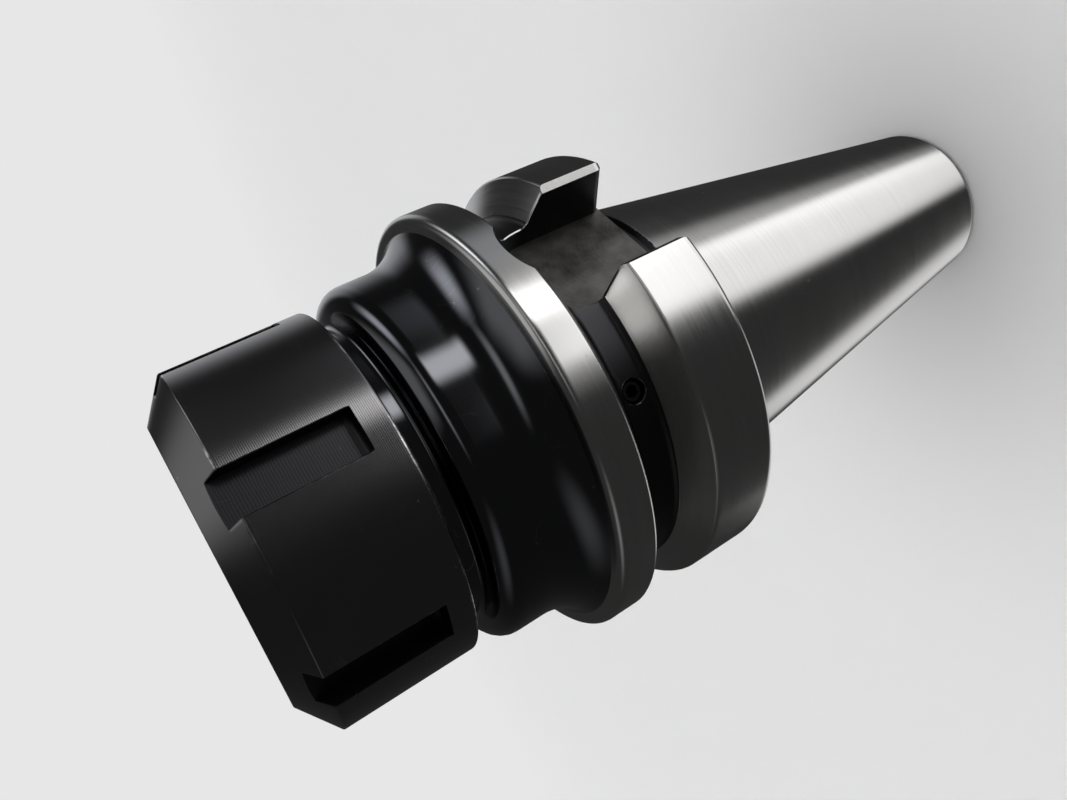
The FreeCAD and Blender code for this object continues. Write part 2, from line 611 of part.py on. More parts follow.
def collet():
    """Spring collet with a double cone, slit from both ends in turn."""
    body = new_body("collet")
    length = "Sizes.collet_length"
    cone_foot = f"({length} - {HEAD_CONE})"
    groove_top = f"({cone_foot} - Sizes.collet_land)"
    groove_low = f"({groove_top} - Sizes.collet_groove_width)"
    groove_radius = "(Sizes.collet_groove_diameter / 2)"
    nose_plane = f"({NOSE_TOP} - {COLLET_LOW})"
    cone_at_nose = f"({SEAT_RADIUS} - Sizes.seat_gap)"
    bore_radius = "(Sizes.collet_bore / 2)"
    chamfer = "Sizes.collet_mouth_chamfer"
    turn_outline(body, "collet_blank", [
        (f"{bore_radius} + {chamfer}", "0"),
        (f"{cone_at_nose} - {nose_plane} * {SEAT_SLOPE}", "0"),
        (f"{cone_at_nose} - ({nose_plane} - {groove_low}) * {SEAT_SLOPE}", groove_low),
        (groove_radius, groove_low),
        (groove_radius, groove_top),
        (HEAD_RADIUS, groove_top),
        (HEAD_RADIUS, cone_foot),
        (FACE_RADIUS, length),
        (f"{bore_radius} + {chamfer}", length),
        (bore_radius, f"{length} - {chamfer}"),
        (bore_radius, chamfer),
    ])
    cut_slits(body, "face_slit", "Sizes.slit_tail_bridge", f"{length} + {OVERRUN}", "0")
    tail_top = f"{length} - Sizes.slit_head_bridge"
    cut_slits(body, "tail_slit", f"0 - {OVERRUN}", tail_top, "180 / Sizes.slit_count")
    body.setExpression("Placement", seat(COLLET_LOW))
    return body


def hexagon(sketch, flats):
    """Regular hexagon of this size across its flats, centred on the axis."""
    corners = []
    for step in range(6):
        reach = f"({flats} / 2 / cos(30 deg))"
        corners.append((f"{reach} * cos({step * 60 + 30} deg)", f"{reach} * sin({step * 60 + 30} deg)"))
    draw_outline(sketch, corners)


def stop_screw():
    """Hollow screw below the collet that sets how deep a shank goes in."""
    body = new_body("stop_screw")
    length = "Sizes.stop_length"
    radius = f"({STOP_PITCH_RADIUS} - Sizes.thread_gap)"
    chamfer = "Sizes.stop_chamfer"
    cup_radius = "(Sizes.stop_socket / 2 / cos(30 deg) + Sizes.stop_cup_depth)"
    turn_outline(body, "stop_blank", [
        ("0", "0"),
        (f"{radius} - {chamfer}", "0"),
        (radius, chamfer),
        (radius, f"{length} - {chamfer}"),
        (f"{radius} - {chamfer}", length),
        (cup_radius, length),
        (f"{cup_radius} - Sizes.stop_cup_depth", f"{length} - Sizes.stop_cup_depth"),
        ("0", f"{length} - Sizes.stop_cup_depth"),
    ])
    sketch = new_sketch(body, "stop_socket_outline", "XY_Plane")
    hexagon(sketch, "Sizes.stop_socket")
    cut_away(body, "stop_socket", sketch)
    body.setExpression("Placement", seat(f"{STOP_THREAD_LOW} + Sizes.stop_height"))
    return body


def plug_screw(index):
    """Grub screw in the groove's floor, its socket facing outwards."""
    body = new_body(f"plug_screw_{index + 1}")
    length = "Sizes.plug_length"
    radius = "(Sizes.plug_diameter / 2)"
    chamfer = "Sizes.plug_chamfer"
    turn_outline(body, f"plug_blank_{index + 1}", [
        ("0", "0"),
        (f"{radius} - {chamfer}", "0"),
        (radius, chamfer),
        (radius, f"{length} - {chamfer}"),
        (f"{radius} - {chamfer}", length),
        ("0", length),
    ])
    socket_floor = f"{length} - Sizes.plug_socket_depth"
    sketch = new_sketch(body, f"plug_socket_outline_{index + 1}", "XY_Plane", socket_floor)
    hexagon(sketch, "Sizes.plug_socket")
    cut_away(body, f"plug_socket_{index + 1}", sketch)
    round_groove = seat(GROOVE_MIDDLE, Z_AXIS, f"Sizes.plug_angle + {index} * 360 / Sizes.plug_count")
    outwards = seat("0", Y_AXIS, "90")
    foot = seat(f"{GROOVE_FLOOR} - Sizes.plug_recess - {length}")
    body.setExpression("Placement", f"{round_groove} * {outwards} * {foot}")
    return body


pieces = [holder_body(), clamping_nut(), collet(), stop_screw()]
pieces += [plug_screw(index) for index in range(int(number("Sizes.plug_count")))]
document.recompute()

for item in document.Objects:
    if "Invalid" in item.State or "Error" in item.State:
        raise RuntimeError(item.Label + " failed")
for piece in pieces:
    if piece.Shape.isNull() or not piece.Shape.isValid() or len(piece.Shape.Solids) != 1:
        raise RuntimeError(piece.Label + " is not one valid solid")

os.makedirs("parts", exist_ok=True)
for piece in pieces:
    piece.Shape.exportStep(f"parts/{piece.Label}.step")
    box = piece.Shape.BoundBox
    print(f"{piece.Label}: {piece.Shape.Volume:.1f} mm3, z {box.ZMin:.2f} to {box.ZMax:.2f}")
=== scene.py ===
"""Looks of a steep-taper collet chuck holder, laid out as an add-on with one operator for each piece.

The holder body and the clamping nut are surfaces worked out with numpy, with cut threads and broken edges.
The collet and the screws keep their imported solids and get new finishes.
"""

import bmesh
import bpy
import numpy as np
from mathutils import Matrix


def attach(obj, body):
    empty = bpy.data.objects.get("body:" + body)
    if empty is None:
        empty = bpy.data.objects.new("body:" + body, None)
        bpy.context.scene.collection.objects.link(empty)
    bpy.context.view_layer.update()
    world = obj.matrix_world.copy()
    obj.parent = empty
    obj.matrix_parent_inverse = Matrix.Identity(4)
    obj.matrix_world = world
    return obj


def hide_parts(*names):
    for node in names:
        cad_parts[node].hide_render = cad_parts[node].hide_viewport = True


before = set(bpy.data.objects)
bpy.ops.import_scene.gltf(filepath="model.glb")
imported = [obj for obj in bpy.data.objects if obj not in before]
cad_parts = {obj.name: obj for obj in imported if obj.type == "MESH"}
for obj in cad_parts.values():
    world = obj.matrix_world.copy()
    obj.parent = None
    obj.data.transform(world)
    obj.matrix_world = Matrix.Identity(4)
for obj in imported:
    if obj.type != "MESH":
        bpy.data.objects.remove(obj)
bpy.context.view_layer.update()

bl_info = {
    "name": "Collet chuck holder",
    "version": (1, 0, 0),
    "blender": (4, 5, 0),
    "location": "View3D > Sidebar > Chuck",
    "description": "Builds a steep-taper collet chuck holder and its studio",
    "category": "Add Mesh",
}

MM = 0.001
SAME_PLACE = 1e-6  # metres between points that are one
SHARP = np.radians(35)  # turn past which an edge is drawn sharp
EDGE_MARK = "edge"  # point attribute, 1 on an outer edge and 0 beside it; it places rubbed uncoated edges and a painted edge highlight
TAPER_SLOPE = 7 / 48  # rise of the taper's radius along its axis, for a taper of 7 in 24
GROOVE_TILT = np.radians(30)  # tilt of the gripper groove's walls from the flange's face
HOLDER_FINISHES = ("ground_steel", "gloss_oxide", "matt_oxide", "milled_oxide", "seat_steel")
GROUND, GLOSS, MATT, MILLED, SEAT = range(5)  # places in HOLDER_FINISHES
NUT_FINISHES = ("nut_oxide", "nut_slot_oxide", "matt_oxide", "seat_steel")
NUT, NUT_SLOT, NUT_MATT, NUT_SEAT = range(4)  # places in NUT_FINISHES


def length(name, millimetres, description):
    """A size property in metres, given in millimetres."""
    return bpy.props.FloatProperty(
        name=name, description=description, default=millimetres * MM, min=0.0, unit="LENGTH", precision=5
    )


def angle(name, degrees, description):
    """An angle property, given in degrees."""
    return bpy.props.FloatProperty(
        name=name, description=description, default=np.radians(degrees), subtype="ANGLE"
    )


def share(name, value, description):
    """A property from 0 to 1."""
    return bpy.props.FloatProperty(
        name=name, description=description, default=value, min=0.0, max=1.0, subtype="FACTOR"
    )


def colour(name, value, description):
    """A colour property."""
    return bpy.props.FloatVectorProperty(
        name=name, description=description, default=value, size=3, min=0.0, max=1.0, subtype="COLOR"
    )


class TaperSizes(bpy.types.PropertyGroup):
    """Sizes of the taper and of the ring between it and the flange"""

    gauge_radius: length("Gauge radius", 22.225, "Radius on the gauge plane")
    taper_length: length("Taper length", 65.4, "Small end to the gauge plane")
    small_end_chamfer: length("Small end chamfer", 1.0, "Chamfer round the small end")
    relief_depth: length("Relief depth", 0.6, "Depth of the ring between taper and flange")
    relief_top: length("Relief top", 67.4, "Height of the flange's lower face")


class FlangeSizes(bpy.types.PropertyGroup):
    """Sizes of the flange, its gripper groove, drive slots and plug holes"""

    radius: length("Radius", 31.5, "Outer radius of the flange")
    top: length("Top", 92.4, "Height of the flange's upper face")
    rounding: length("Rounding", 1.0, "Rounding of the outer edges")
    groove_middle: length("Groove middle", 82.0, "Height of the gripper groove's middle")
    groove_half_mouth: length("Groove half mouth", 5.0, "Half the width of the groove at its mouth")
    groove_floor: length("Groove floor", 26.5, "Radius of the groove's floor")
    groove_corner: length("Groove corner", 1.2, "Radius in the groove's floor corners")
    rim_chamfer: length("Rim chamfer", 0.2, "Chamfer along the groove's rims")
    slot_half_width: length("Slot half width", 8.05, "Half the width of a drive slot")
    slot_floor: length("Slot floor", 22.6, "Axis to the floor of a drive slot")
    slot_top: length("Slot top", 88.4, "Height of the round end of a drive slot")
    slot_chamfer: length("Slot chamfer", 0.9, "Chamfer along the outer edges of a drive slot")
    slot_mouth: length("Slot mouth", 1.2, "Rounding of the slot walls where they meet the lower face")
    plug_radius: length("Plug hole radius", 1.55, "Radius of a plug screw's hole")
    plug_floor: length("Plug hole floor", 19.5, "Axis to the bottom of a plug screw's hole")
    plug_angle: angle("Plug angle", 137.0, "Turn from a drive slot to a plug screw")


class CollarSizes(bpy.types.PropertyGroup):
    """Sizes of the collar, its hollow foot and the neck above it"""

    radius: length("Radius", 26.2, "Outer radius of the collar")
    top: length("Top", 105.9, "Height of the collar's shoulder")
    rounding: length("Rounding", 3.0, "Rounding of the shoulder")
    hollow_radius: length("Hollow radius", 8.0, "Radius of the hollow above the flange")
    hollow_height: length("Hollow height", 6.4, "Height of the hollow")
    neck_radius: length("Neck radius", 21.5, "Radius of the neck")
    neck_top: length("Neck top", 108.3, "Height of the neck's top")
    neck_fillet: length("Neck fillet", 0.8, "Radius at the foot of the neck")


class NoseSizes(bpy.types.PropertyGroup):
    """Sizes of the nose and its thread"""

    top: length("Top", 120.3, "Height of the nose's tip")
    runout_radius: length("Run-out radius", 18.7, "Radius of the thread's run-out")
    runout_top: length("Run-out top", 110.5, "Height where the run-out ends")
    tip_radius: length("Tip radius", 18.263, "Outer radius of the tip's flat ring")
    root_radius: length("Thread root", 19.0, "Radius at the thread's root")
    crest_radius: length("Thread crest", 19.95, "Radius at the thread's crest")
    pitch: length("Pitch", 1.5, "Rise of the thread in one turn")


class BoreSizes(bpy.types.PropertyGroup):
    """Sizes of the bores, from the collet seat down to the pilot"""

    seat_radius: length("Seat radius", 16.0, "Radius of the collet seat at the nose's tip")
    seat_foot_radius: length("Seat foot radius", 11.643, "Radius at the foot of the collet seat")
    seat_foot: length("Seat foot", 89.3, "Height of the foot of the collet seat")
    relief_radius: length("Relief radius", 11.0, "Radius behind the collet seat")
    relief_foot: length("Relief foot", 83.8, "Height of the foot of the relief")
    stop_wall: length("Stop thread wall", 8.5629, "Radius of the stop screw's thread at its crests")
    stop_root: length("Stop thread root", 9.02, "Radius of the stop screw's thread at its roots")
    stop_foot: length("Stop thread foot", 51.78, "Height where the stop screw's thread ends")
    coolant_radius: length("Coolant bore", 4.5, "Radius of the bore between the threads")
    stud_wall: length("Stud thread wall", 6.9175, "Radius of the pull stud's thread at its crests")
    stud_root: length("Stud thread root", 8.0, "Radius of the pull stud's thread at its roots")
    stud_pitch: length("Stud pitch", 2.0, "Rise of the pull stud's thread in one turn")
    stud_top: length("Stud thread top", 37.0, "Height where the pull stud's thread ends")
    pilot_radius: length("Pilot radius", 8.5, "Radius of the pilot bore")
    pilot_top: length("Pilot top", 9.0, "Height of the pilot bore's end")
    mouth_chamfer: length("Mouth chamfer", 0.6, "Chamfer at the bores' mouths")


class NutSizes(bpy.types.PropertyGroup):
    """Sizes of the clamping nut. All its heights but the foot's are over its lower face"""

    foot: length("Foot", 108.9, "Height of the nut's lower face")
    height: length("Height", 22.5, "Height of the nut")
    radius: length("Radius", 25.0, "Outer radius of the nut")
    face_radius: length("Face radius", 19.5, "Outer radius of the front face")
    cone_height: length("Cone height", 3.9, "Height of the front cone")
    rounding: length("Rounding", 0.35, "Rounding of the outer edges")
    turn: angle("Turn", -18.9, "Turn of the first wrench slot at rest")
    slot_half_width: length("Slot half width", 2.9, "Half the width of a wrench slot")
    slot_floor: length("Slot floor", 22.6, "Axis to the floor of a wrench slot")
    slot_start: length("Slot start", 3.4, "Lower face to the start of a wrench slot")
    slot_corner: length("Slot corner", 1.2, "Radius between a slot's floor and its end")
    mouth_radius: length("Mouth radius", 13.95, "Radius of the front opening")
    mouth_foot: length("Mouth foot", 21.307, "Height of the mouth's inner edge")
    cone_foot_radius: length("Inner cone radius", 16.55, "Radius at the foot of the inner cone")
    cone_foot: length("Inner cone foot", 16.804, "Height of the foot of the inner cone")
    lip_top: length("Lip top", 15.154, "Height of the pulling lip's upper face")
    lip_foot: length("Lip foot", 12.854, "Height of the pulling lip's lower face")
    lip_hole: length("Lip hole", 15.7, "Radius of the eccentric hole in the lip")
    lip_offset: length("Lip offset", 0.75, "Offset of the lip's hole from the axis")
    relief_radius: length("Relief radius", 20.463, "Radius of the ring above the thread")
    relief_foot: length("Relief foot", 11.4, "Height where the ring above the thread starts")
    thread_root: length("Thread root", 20.06, "Radius at the thread's root")
    thread_crest: length("Thread crest", 19.24, "Radius at the thread's crest")


class FinishColours(bpy.types.PropertyGroup):
    """Base colours of the finishes"""

    ground: colour("Ground steel", (0.56, 0.555, 0.545), "Ground taper and flange")
    gloss_oxide: colour("Gloss oxide", (0.105, 0.107, 0.115), "Black oxide on the collar and hollow")
    matt_oxide: colour("Matt oxide", (0.045, 0.045, 0.048), "Black oxide in slots, groove and bores")
    milled_oxide: colour("Milled oxide", (0.125, 0.121, 0.115), "Black oxide on the drive slots' floors")
    nut_oxide: colour("Nut oxide", (0.18, 0.177, 0.18), "Satin black oxide on the nut")
    # Uncoated steel where the oxide is rubbed off the edges; the same colour also paints a bright highlight
    # along the edges.
    worn_and_glint: colour("Worn edge", (0.62, 0.61, 0.60), "Bare steel on worn edges")
    floor: colour("Floor", (0.80, 0.80, 0.80), "Studio floor")


class Shell:
    """A closed skin made of sheets of points. Each face has a finish and each point has an edge mark."""

    def __init__(self):
        self.points = []
        self.marks = []
        self.faces = []
        self.finishes = []
        self.count = 0

    def add_points(self, points, marks):
        """Adds an array of points and returns their numbers in the same layout."""
        points = np.asarray(points, dtype=float)
        index = self.count + np.arange(points[..., 0].size).reshape(points.shape[:-1])
        self.points.append(points.reshape(-1, 3))
        self.marks.append(np.broadcast_to(marks, points.shape[:-1]).reshape(-1))
        self.count += index.size
        return index

    def add_faces(self, faces, finish):
        """Adds faces, each given by its points' numbers."""
        self.faces += faces.tolist()
        self.finishes.append(np.broadcast_to(finish, len(faces)))

    def add_sheet(self, points, marks, finish, keep=None):
        """A grid of points, rows by columns, becomes one four-sided face for each cell."""
        index = self.add_points(points, marks)
        faces = np.stack([index[:-1, :-1], index[1:, :-1], index[1:, 1:], index[:-1, 1:]], axis=-1)
        cells = np.ones(faces.shape[:2], bool) if keep is None else keep
        finish = np.broadcast_to(np.asarray(finish), faces.shape[:2])
        self.add_faces(faces[cells], finish[cells])

    def add_zip(self, many, few, finish):
        """A flat strip between a ring and one with half as many points, three triangles to each pair."""
        a = self.add_points(many, 0.0)
        b = self.add_points(few, 0.0)
        triangles = np.concatenate(
            [
                np.stack([a[:-1:2], a[1::2], b[:-1]], axis=-1),
                np.stack([a[1::2], b[1:], b[:-1]], axis=-1),
                np.stack([a[1::2], a[2::2], b[1:]], axis=-1),
            ]
        )
        self.add_faces(triangles, finish)

    def finish_piece(self, name, materials):
        """Joins the sheets, merges their shared points and turns every face outwards."""
        mesh = bpy.data.meshes.new(name)
        mesh.from_pydata(np.concatenate(self.points), [], self.faces)
        mesh.polygons.foreach_set("material_index", np.concatenate(self.finishes).astype(np.int32))
        mark = mesh.attributes.new(EDGE_MARK, "FLOAT", "POINT")
        mark.data.foreach_set("value", np.concatenate(self.marks).astype(np.float32))
        work = bmesh.new()
        work.from_mesh(mesh)
        bmesh.ops.remove_doubles(work, verts=work.verts, dist=SAME_PLACE)
        bmesh.ops.dissolve_degenerate(work, edges=work.edges, dist=SAME_PLACE)
        bmesh.ops.recalc_face_normals(work, faces=work.faces)
        work.to_mesh(mesh)
        work.free()
        mesh.shade_smooth()
        mesh.set_sharp_from_angle(angle=SHARP)
        for material in materials:
            mesh.materials.append(material)
        piece = bpy.data.objects.new(name, mesh)
        bpy.context.scene.collection.objects.link(piece)
        return piece


def turned(radius, height, theta):
    """Points of a surface of revolution: the radius swept to its cosine and sine, at the given height."""
    radius, height, theta = np.broadcast_arrays(radius, height, theta)
    return np.stack([radius * np.cos(theta), radius * np.sin(theta), height], axis=-1)


def smooth(value):
    """An S curve from 0 to 1, three times the square less twice the cube."""
    value = np.clip(value, 0, 1)
    return value * value * (3 - 2 * value)


def guarded_shares(columns, guard):
    """Even shares from 0 to 1, with one more near each end that holds the shading of the edge there."""
    return np.concatenate([[0, guard], np.linspace(0, 1, columns)[1:-1], [1 - guard, 1]])


def corner_turn(corner, before, after):
    """Angle by which a path turns at a corner."""
    a = (corner - before) / np.linalg.norm(corner - before)
    b = (after - corner) / np.linalg.norm(after - corner)
    return np.arccos(np.clip(a @ b, -1, 1))


def corner_arc(corner, before, after, radius, pieces):
    """Points of an arc that touches both sides of a corner, turned evenly about the arc's centre."""
    a = (before - corner) / np.linalg.norm(before - corner)
    b = (after - corner) / np.linalg.norm(after - corner)
    half = np.arccos(np.clip(a @ b, -1, 1)) / 2
    centre = corner + (a + b) / np.linalg.norm(a + b) * radius / np.sin(half)
    start = corner + a * radius / np.tan(half) - centre
    end = corner + b * radius / np.tan(half) - centre
    turn = np.pi - 2 * half
    at = np.linspace(0, 1, pieces + 1)[:, None]
    return centre + (np.sin((1 - at) * turn) * start + np.sin(at * turn) * end) / np.sin(turn)


class Outline:
    """A turned profile: rows of radius and height, an edge mark for each row and a finish for each run."""

    GUARD = 0.3 * MM  # distance from an edge to the row that holds its shading
    STEP = 4.0 * MM  # longest run between two rows
    ARC_STEP = np.radians(15)  # longest turn between two rows of a rounding

    def __init__(self):
        self.rows = []
        self.marks = []
        self.finishes = []

    def add(self, rows, marks, finish):
        """Adds rows of radius and height, which all have one finish."""
        rows = np.asarray(rows, dtype=float)
        self.rows.append(rows)
        self.marks.append(np.broadcast_to(marks, len(rows)))
        self.finishes.append(np.broadcast_to(finish, len(rows)))

    def run(self, corners, finishes, step=None):
        """Straight runs between corners (radius, height, rounding, edge mark), each rounded by an arc.

        An arc between two finishes has the one with the higher number.
        """
        places = np.array([c[:2] for c in corners], dtype=float)
        ends = []
        for i, (_, _, rounding, _) in enumerate(corners):
            inner = 0 < i < len(corners) - 1
            if inner and rounding > 0:
                turn = corner_turn(places[i], places[i - 1], places[i + 1])
                pieces = max(2, int(np.ceil(turn / self.ARC_STEP)))
                ends.append(corner_arc(places[i], places[i - 1], places[i + 1], rounding, pieces))
            else:
                ends.append(places[i : i + 1])
        for i, finish in enumerate(finishes):
            start, end = ends[i][-1], ends[i + 1][0]
            reach = np.linalg.norm(end - start)
            at = np.linspace(0, 1, max(1, int(np.ceil(reach / (step or self.STEP)))) + 1)
            if reach > 3 * self.GUARD:
                near = self.GUARD / reach
                at = np.unique(np.concatenate([at, [near, 1 - near]]))
            rows = start + at[:, None] * (end - start)
            mark = np.zeros(len(rows))
            mark[0], mark[-1] = corners[i][3], corners[i + 1][3]
            self.add(rows, mark, finish)
            if len(ends[i + 1]) > 1:
                self.add(ends[i + 1][1:], corners[i + 1][3], max(finish, finishes[i + 1]))

    def arrays(self):
        """Radius, height, mark and finish as arrays, without rows that repeat the row before."""
        rows = np.concatenate(self.rows)
        marks = np.concatenate(self.marks)
        finishes = np.concatenate(self.finishes)
        moved = np.linalg.norm(np.diff(rows, axis=0), axis=1) > SAME_PLACE
        keep = np.concatenate([[True], moved])
        return rows[keep, 0], rows[keep, 1], marks[keep], finishes[keep][1:]


FULL_RIDGE = (0.0625, 0.375)  # half widths of a full thread's top and foot, as shares of the pitch
HALF_RIDGE = (0.0625, 0.25)  # the same for a thread cut to half its depth
NUT_RIDGE = (0.095, 0.4075)  # the nut's ridges, which leave room beside the nose's
THREAD_LEAD = 0.55  # height over which a thread fades at its ends, as a share of the pitch
CREST_MARK = 0.6  # edge mark of a thread's crest


def add_thread(shell, theta, span, pitch, radii, widths, finish, phase=0.0):
    """A screw thread. Its rows follow the helix: the height is the pitch times the sum of row and turn.

    The radius goes from the wall to the peak across each flank, and back to the wall at both ends of the
    span. A phase of one half puts the ridges between those of the mating thread.
    """
    low, high = span
    wall, peak = radii
    peak_width, foot_width = widths
    lead = THREAD_LEAD * pitch
    turns = np.arange(np.floor(low / pitch) - 2, np.ceil(high / pitch) + 2)
    row = (turns[:, None] + phase + np.array([-foot_width, -peak_width, peak_width, foot_width])).ravel()
    height = np.clip(pitch * (row[:, None] + theta / (2 * np.pi)), low, high)
    fade = smooth((height - low) / lead) * smooth((high - height) / lead)
    ridge = np.tile([0.0, 1.0, 1.0, 0.0], len(turns))[:, None] * fade
    shell.add_sheet(turned(wall + (peak - wall) * ridge, height, theta), CREST_MARK * ridge, finish)


class HolderShell:
    """The holder's skin: a turned outline whose columns make room for the drive slots."""

    LAND_COLUMNS = 124  # columns of a land between two drive slots, without its guards
    LAND_GUARD = 0.0035  # share of a land from its side to the column that guards its shading
    FLOOR_COLUMNS = 8  # columns from the middle of a slot's floor to its side
    WALL_COLUMNS = 7  # columns of a slot's wall
    SLOT_BREAK = 0.15 * MM  # broken edge of a drive slot
    BREAK_RISE = 0.3 * MM  # height over which the broken edge grows from the flange's lower face
    BREAK_WIDTH = 3.0 * MM  # half width of the slot below which the broken edge shrinks
    SLOT_MARK = 0.9  # edge mark along a drive slot
    WALL_GUARD = 0.96  # share of a wall's depth to the column that guards its outer edge
    ROUND_ROWS = 22  # rows of a slot's round end
    HOLLOW_ROWS = 14  # rows of the hollow above the flange
    BORE_STEP = 12 * MM  # longest run between two rows in the bores
    ROW_GAP = 0.02 * MM  # a row nearer than this to one of the outline's own is left out
    PLUG_BREAK = 0.12 * MM  # broken edge of a plug screw's hole
    PLUG_BORDER = 0.75 * MM  # least distance from a plug screw's hole to the grid round it
    PLUG_RINGS = (0, 0.45, 0.8, 1.0)  # rings from that grid to the hole, as shares of the way

    def __init__(self, scene):
        self.taper = scene.chuck_taper
        self.flange = scene.chuck_flange
        self.collar = scene.chuck_collar
        self.nose = scene.chuck_nose
        self.bore = scene.chuck_bore
        self.shell = Shell()
        self.share = guarded_shares(self.LAND_COLUMNS, self.LAND_GUARD)
        self.round = np.concatenate([self.share * np.pi, np.pi + self.share[1:] * np.pi])
        self.slot_low = self.taper.relief_top
        self.arc_middle = self.flange.slot_top - self.flange.slot_half_width
        half = self.flange.slot_half_width
        edge_x = np.sqrt(self.flange.radius**2 - half**2)
        self.bevel_start = np.array([edge_x - self.flange.slot_chamfer, half])
        tilt = np.arcsin(half / self.flange.radius)
        bevel_y = half + self.flange.slot_chamfer * np.cos(tilt)
        bevel_end = np.array([np.sqrt(self.flange.radius**2 - bevel_y**2), bevel_y])
        self.bevel_way = (bevel_end - self.bevel_start) / np.linalg.norm(bevel_end - self.bevel_start)
        self.mouth_half = half + self.flange.slot_mouth

    def slot_edges(self, radius, height):
        """Half width of a slot, the outer end of its wall, and where the land starts, for each row.

        Above the slot's straight sides the half width is the root of the end radius squared less the
        height over its centre squared. At the mouth the walls turn outwards by a quarter circle, and its
        radius less the root of the radius squared less the distance squared is added. The chamfer is a
        plane that cuts each row's circle.
        """
        f = self.flange
        end_radius = f.slot_half_width
        over = np.clip(height - self.arc_middle, 0, end_radius)
        width = np.sqrt(np.maximum(end_radius**2 - over**2, 0))
        low = np.clip(f.slot_mouth - (height - self.slot_low), 0, f.slot_mouth)
        flare = f.slot_mouth - np.sqrt(f.slot_mouth**2 - low**2)
        width = width + flare
        width[(height > f.slot_top - SAME_PLACE) | (height < self.slot_low - SAME_PLACE)] = 0
        ease = np.clip((height - self.slot_low) / self.BREAK_RISE, 0, 1)
        ease = ease * np.clip(width / self.BREAK_WIDTH, 0, 1)
        broken = self.SLOT_BREAK * ease
        side = np.sqrt(np.maximum(radius**2 - width**2, 0))
        straight = height <= self.arc_middle + SAME_PLACE
        wall_end = side - broken
        bevel_x = np.sqrt(f.radius**2 - width**2) - f.slot_chamfer
        wall_end = np.where(straight, np.minimum(wall_end, bevel_x), wall_end)
        along = self.bevel_start @ self.bevel_way
        reach = np.sqrt(np.maximum(along**2 - self.bevel_start @ self.bevel_start + radius**2, 0)) - along
        bevel_y = self.bevel_start[1] + np.maximum(reach, 0) * self.bevel_way[1] + flare
        land_y = width + broken
        chamfered = straight & (width > 0) & (ease > 0)
        land_y = np.where(chamfered, np.maximum(land_y, bevel_y), land_y)
        on_floor = radius**2 < f.slot_floor**2 + width**2
        land_y = np.where(on_floor, np.sqrt(np.maximum(radius**2 - f.slot_floor**2, 0)), land_y)
        land_y = np.where(width > 0, land_y, 0)
        wall_end = np.where(on_floor, f.slot_floor, wall_end)
        land_x = np.sqrt(radius**2 - land_y**2)
        return width, wall_end, land_x, land_y

    def outline(self):
        """The outside from the pilot bore's mouth up to the start of the nose thread."""
        t, f, c, n = self.taper, self.flange, self.collar, self.nose
        small_radius = self.small_end_radius()
        chamfer_radius = small_radius + t.small_end_chamfer * TAPER_SLOPE
        relief = t.gauge_radius - t.relief_depth
        line = Outline()
        line.run(
            [
                (small_radius - t.small_end_chamfer, 0, 0, 0),
                (chamfer_radius, t.small_end_chamfer, 0.15 * MM, 1),
                (t.gauge_radius, t.taper_length, 0.1 * MM, 1),
                (relief, t.taper_length + t.relief_depth, 0.15 * MM, 0),
                (relief, self.slot_low, 0, 0),
            ],
            [GLOSS, GROUND, MATT, MATT],
        )
        across = np.linspace(0, 1, self.FLOOR_COLUMNS + 1)
        floor_radii = np.sqrt(f.slot_floor**2 + (self.mouth_half * across) ** 2)
        wall_radii = np.hypot(self.wall_places(), self.mouth_half)
        low_radii = np.concatenate([[relief], floor_radii, wall_radii[1:]])
        line.add(np.stack([low_radii, np.full(len(low_radii), self.slot_low)], axis=1), 0.0, GLOSS)

        rim = f.groove_half_mouth + f.rim_chamfer
        wall = np.array([-np.cos(GROOVE_TILT), np.sin(GROOVE_TILT)]) * f.rim_chamfer
        inner = f.groove_half_mouth - (f.radius - f.groove_floor) * np.tan(GROOVE_TILT)
        mid = f.groove_middle
        line.run(
            [
                (f.radius - f.rounding, self.slot_low, 0, 0),
                (f.radius, self.slot_low, f.rounding, 0.5),
                (f.radius, mid - rim, 0.12 * MM, 1),
                (f.radius + wall[0], mid - f.groove_half_mouth + wall[1], 0.12 * MM, 0.6),
                (f.groove_floor, mid - inner, f.groove_corner, 0),
                (f.groove_floor, mid + inner, f.groove_corner, 0),
                (f.radius + wall[0], mid + f.groove_half_mouth - wall[1], 0.12 * MM, 0.6),
                (f.radius, mid + rim, 0.12 * MM, 1),
                (f.radius, f.top, f.rounding, 0.5),
                (c.radius + self.hollow_shift()[0], f.top, 0, 0),
            ],
            [GROUND, GROUND, GROUND, GROUND, MATT, GROUND, GROUND, GROUND, GROUND],
            step=1.0 * MM,
        )
        sweep = np.linspace(self.hollow_shift()[1], 0, self.HOLLOW_ROWS)[:, None]
        arc = np.concatenate([-np.cos(sweep), -np.sin(sweep)], axis=1) * c.hollow_radius
        line.add(arc + [c.radius + c.hollow_radius, f.top + c.hollow_height], 0.0, GLOSS)
        line.run(
            [
                (c.radius, f.top + c.hollow_height, 0, 0),
                (c.radius, c.top, c.rounding, 0),
                (c.neck_radius, c.top, c.neck_fillet, 0),
                (c.neck_radius, c.neck_top, 0.2 * MM, 1),
                (n.runout_radius, c.neck_top, 0.2 * MM, 0),
                (n.runout_radius, n.runout_top, 0.2 * MM, 0),
                (n.root_radius, n.runout_top + n.root_radius - n.runout_radius, 0, 0),
            ],
            [GLOSS, GLOSS, GLOSS, GLOSS, MATT, MATT],
        )
        return line.arrays()

    def small_end_radius(self):
        """Radius of the taper where it meets the small end, without the chamfer."""
        return self.taper.gauge_radius - self.taper.taper_length * TAPER_SLOPE

    def hollow_shift(self):
        """Where the hollow's arc leaves the flange: its distance from the collar, and its angle."""
        c = self.collar
        turn = np.arcsin(c.hollow_height / c.hollow_radius)
        return c.hollow_radius * (1 - np.cos(turn)), turn

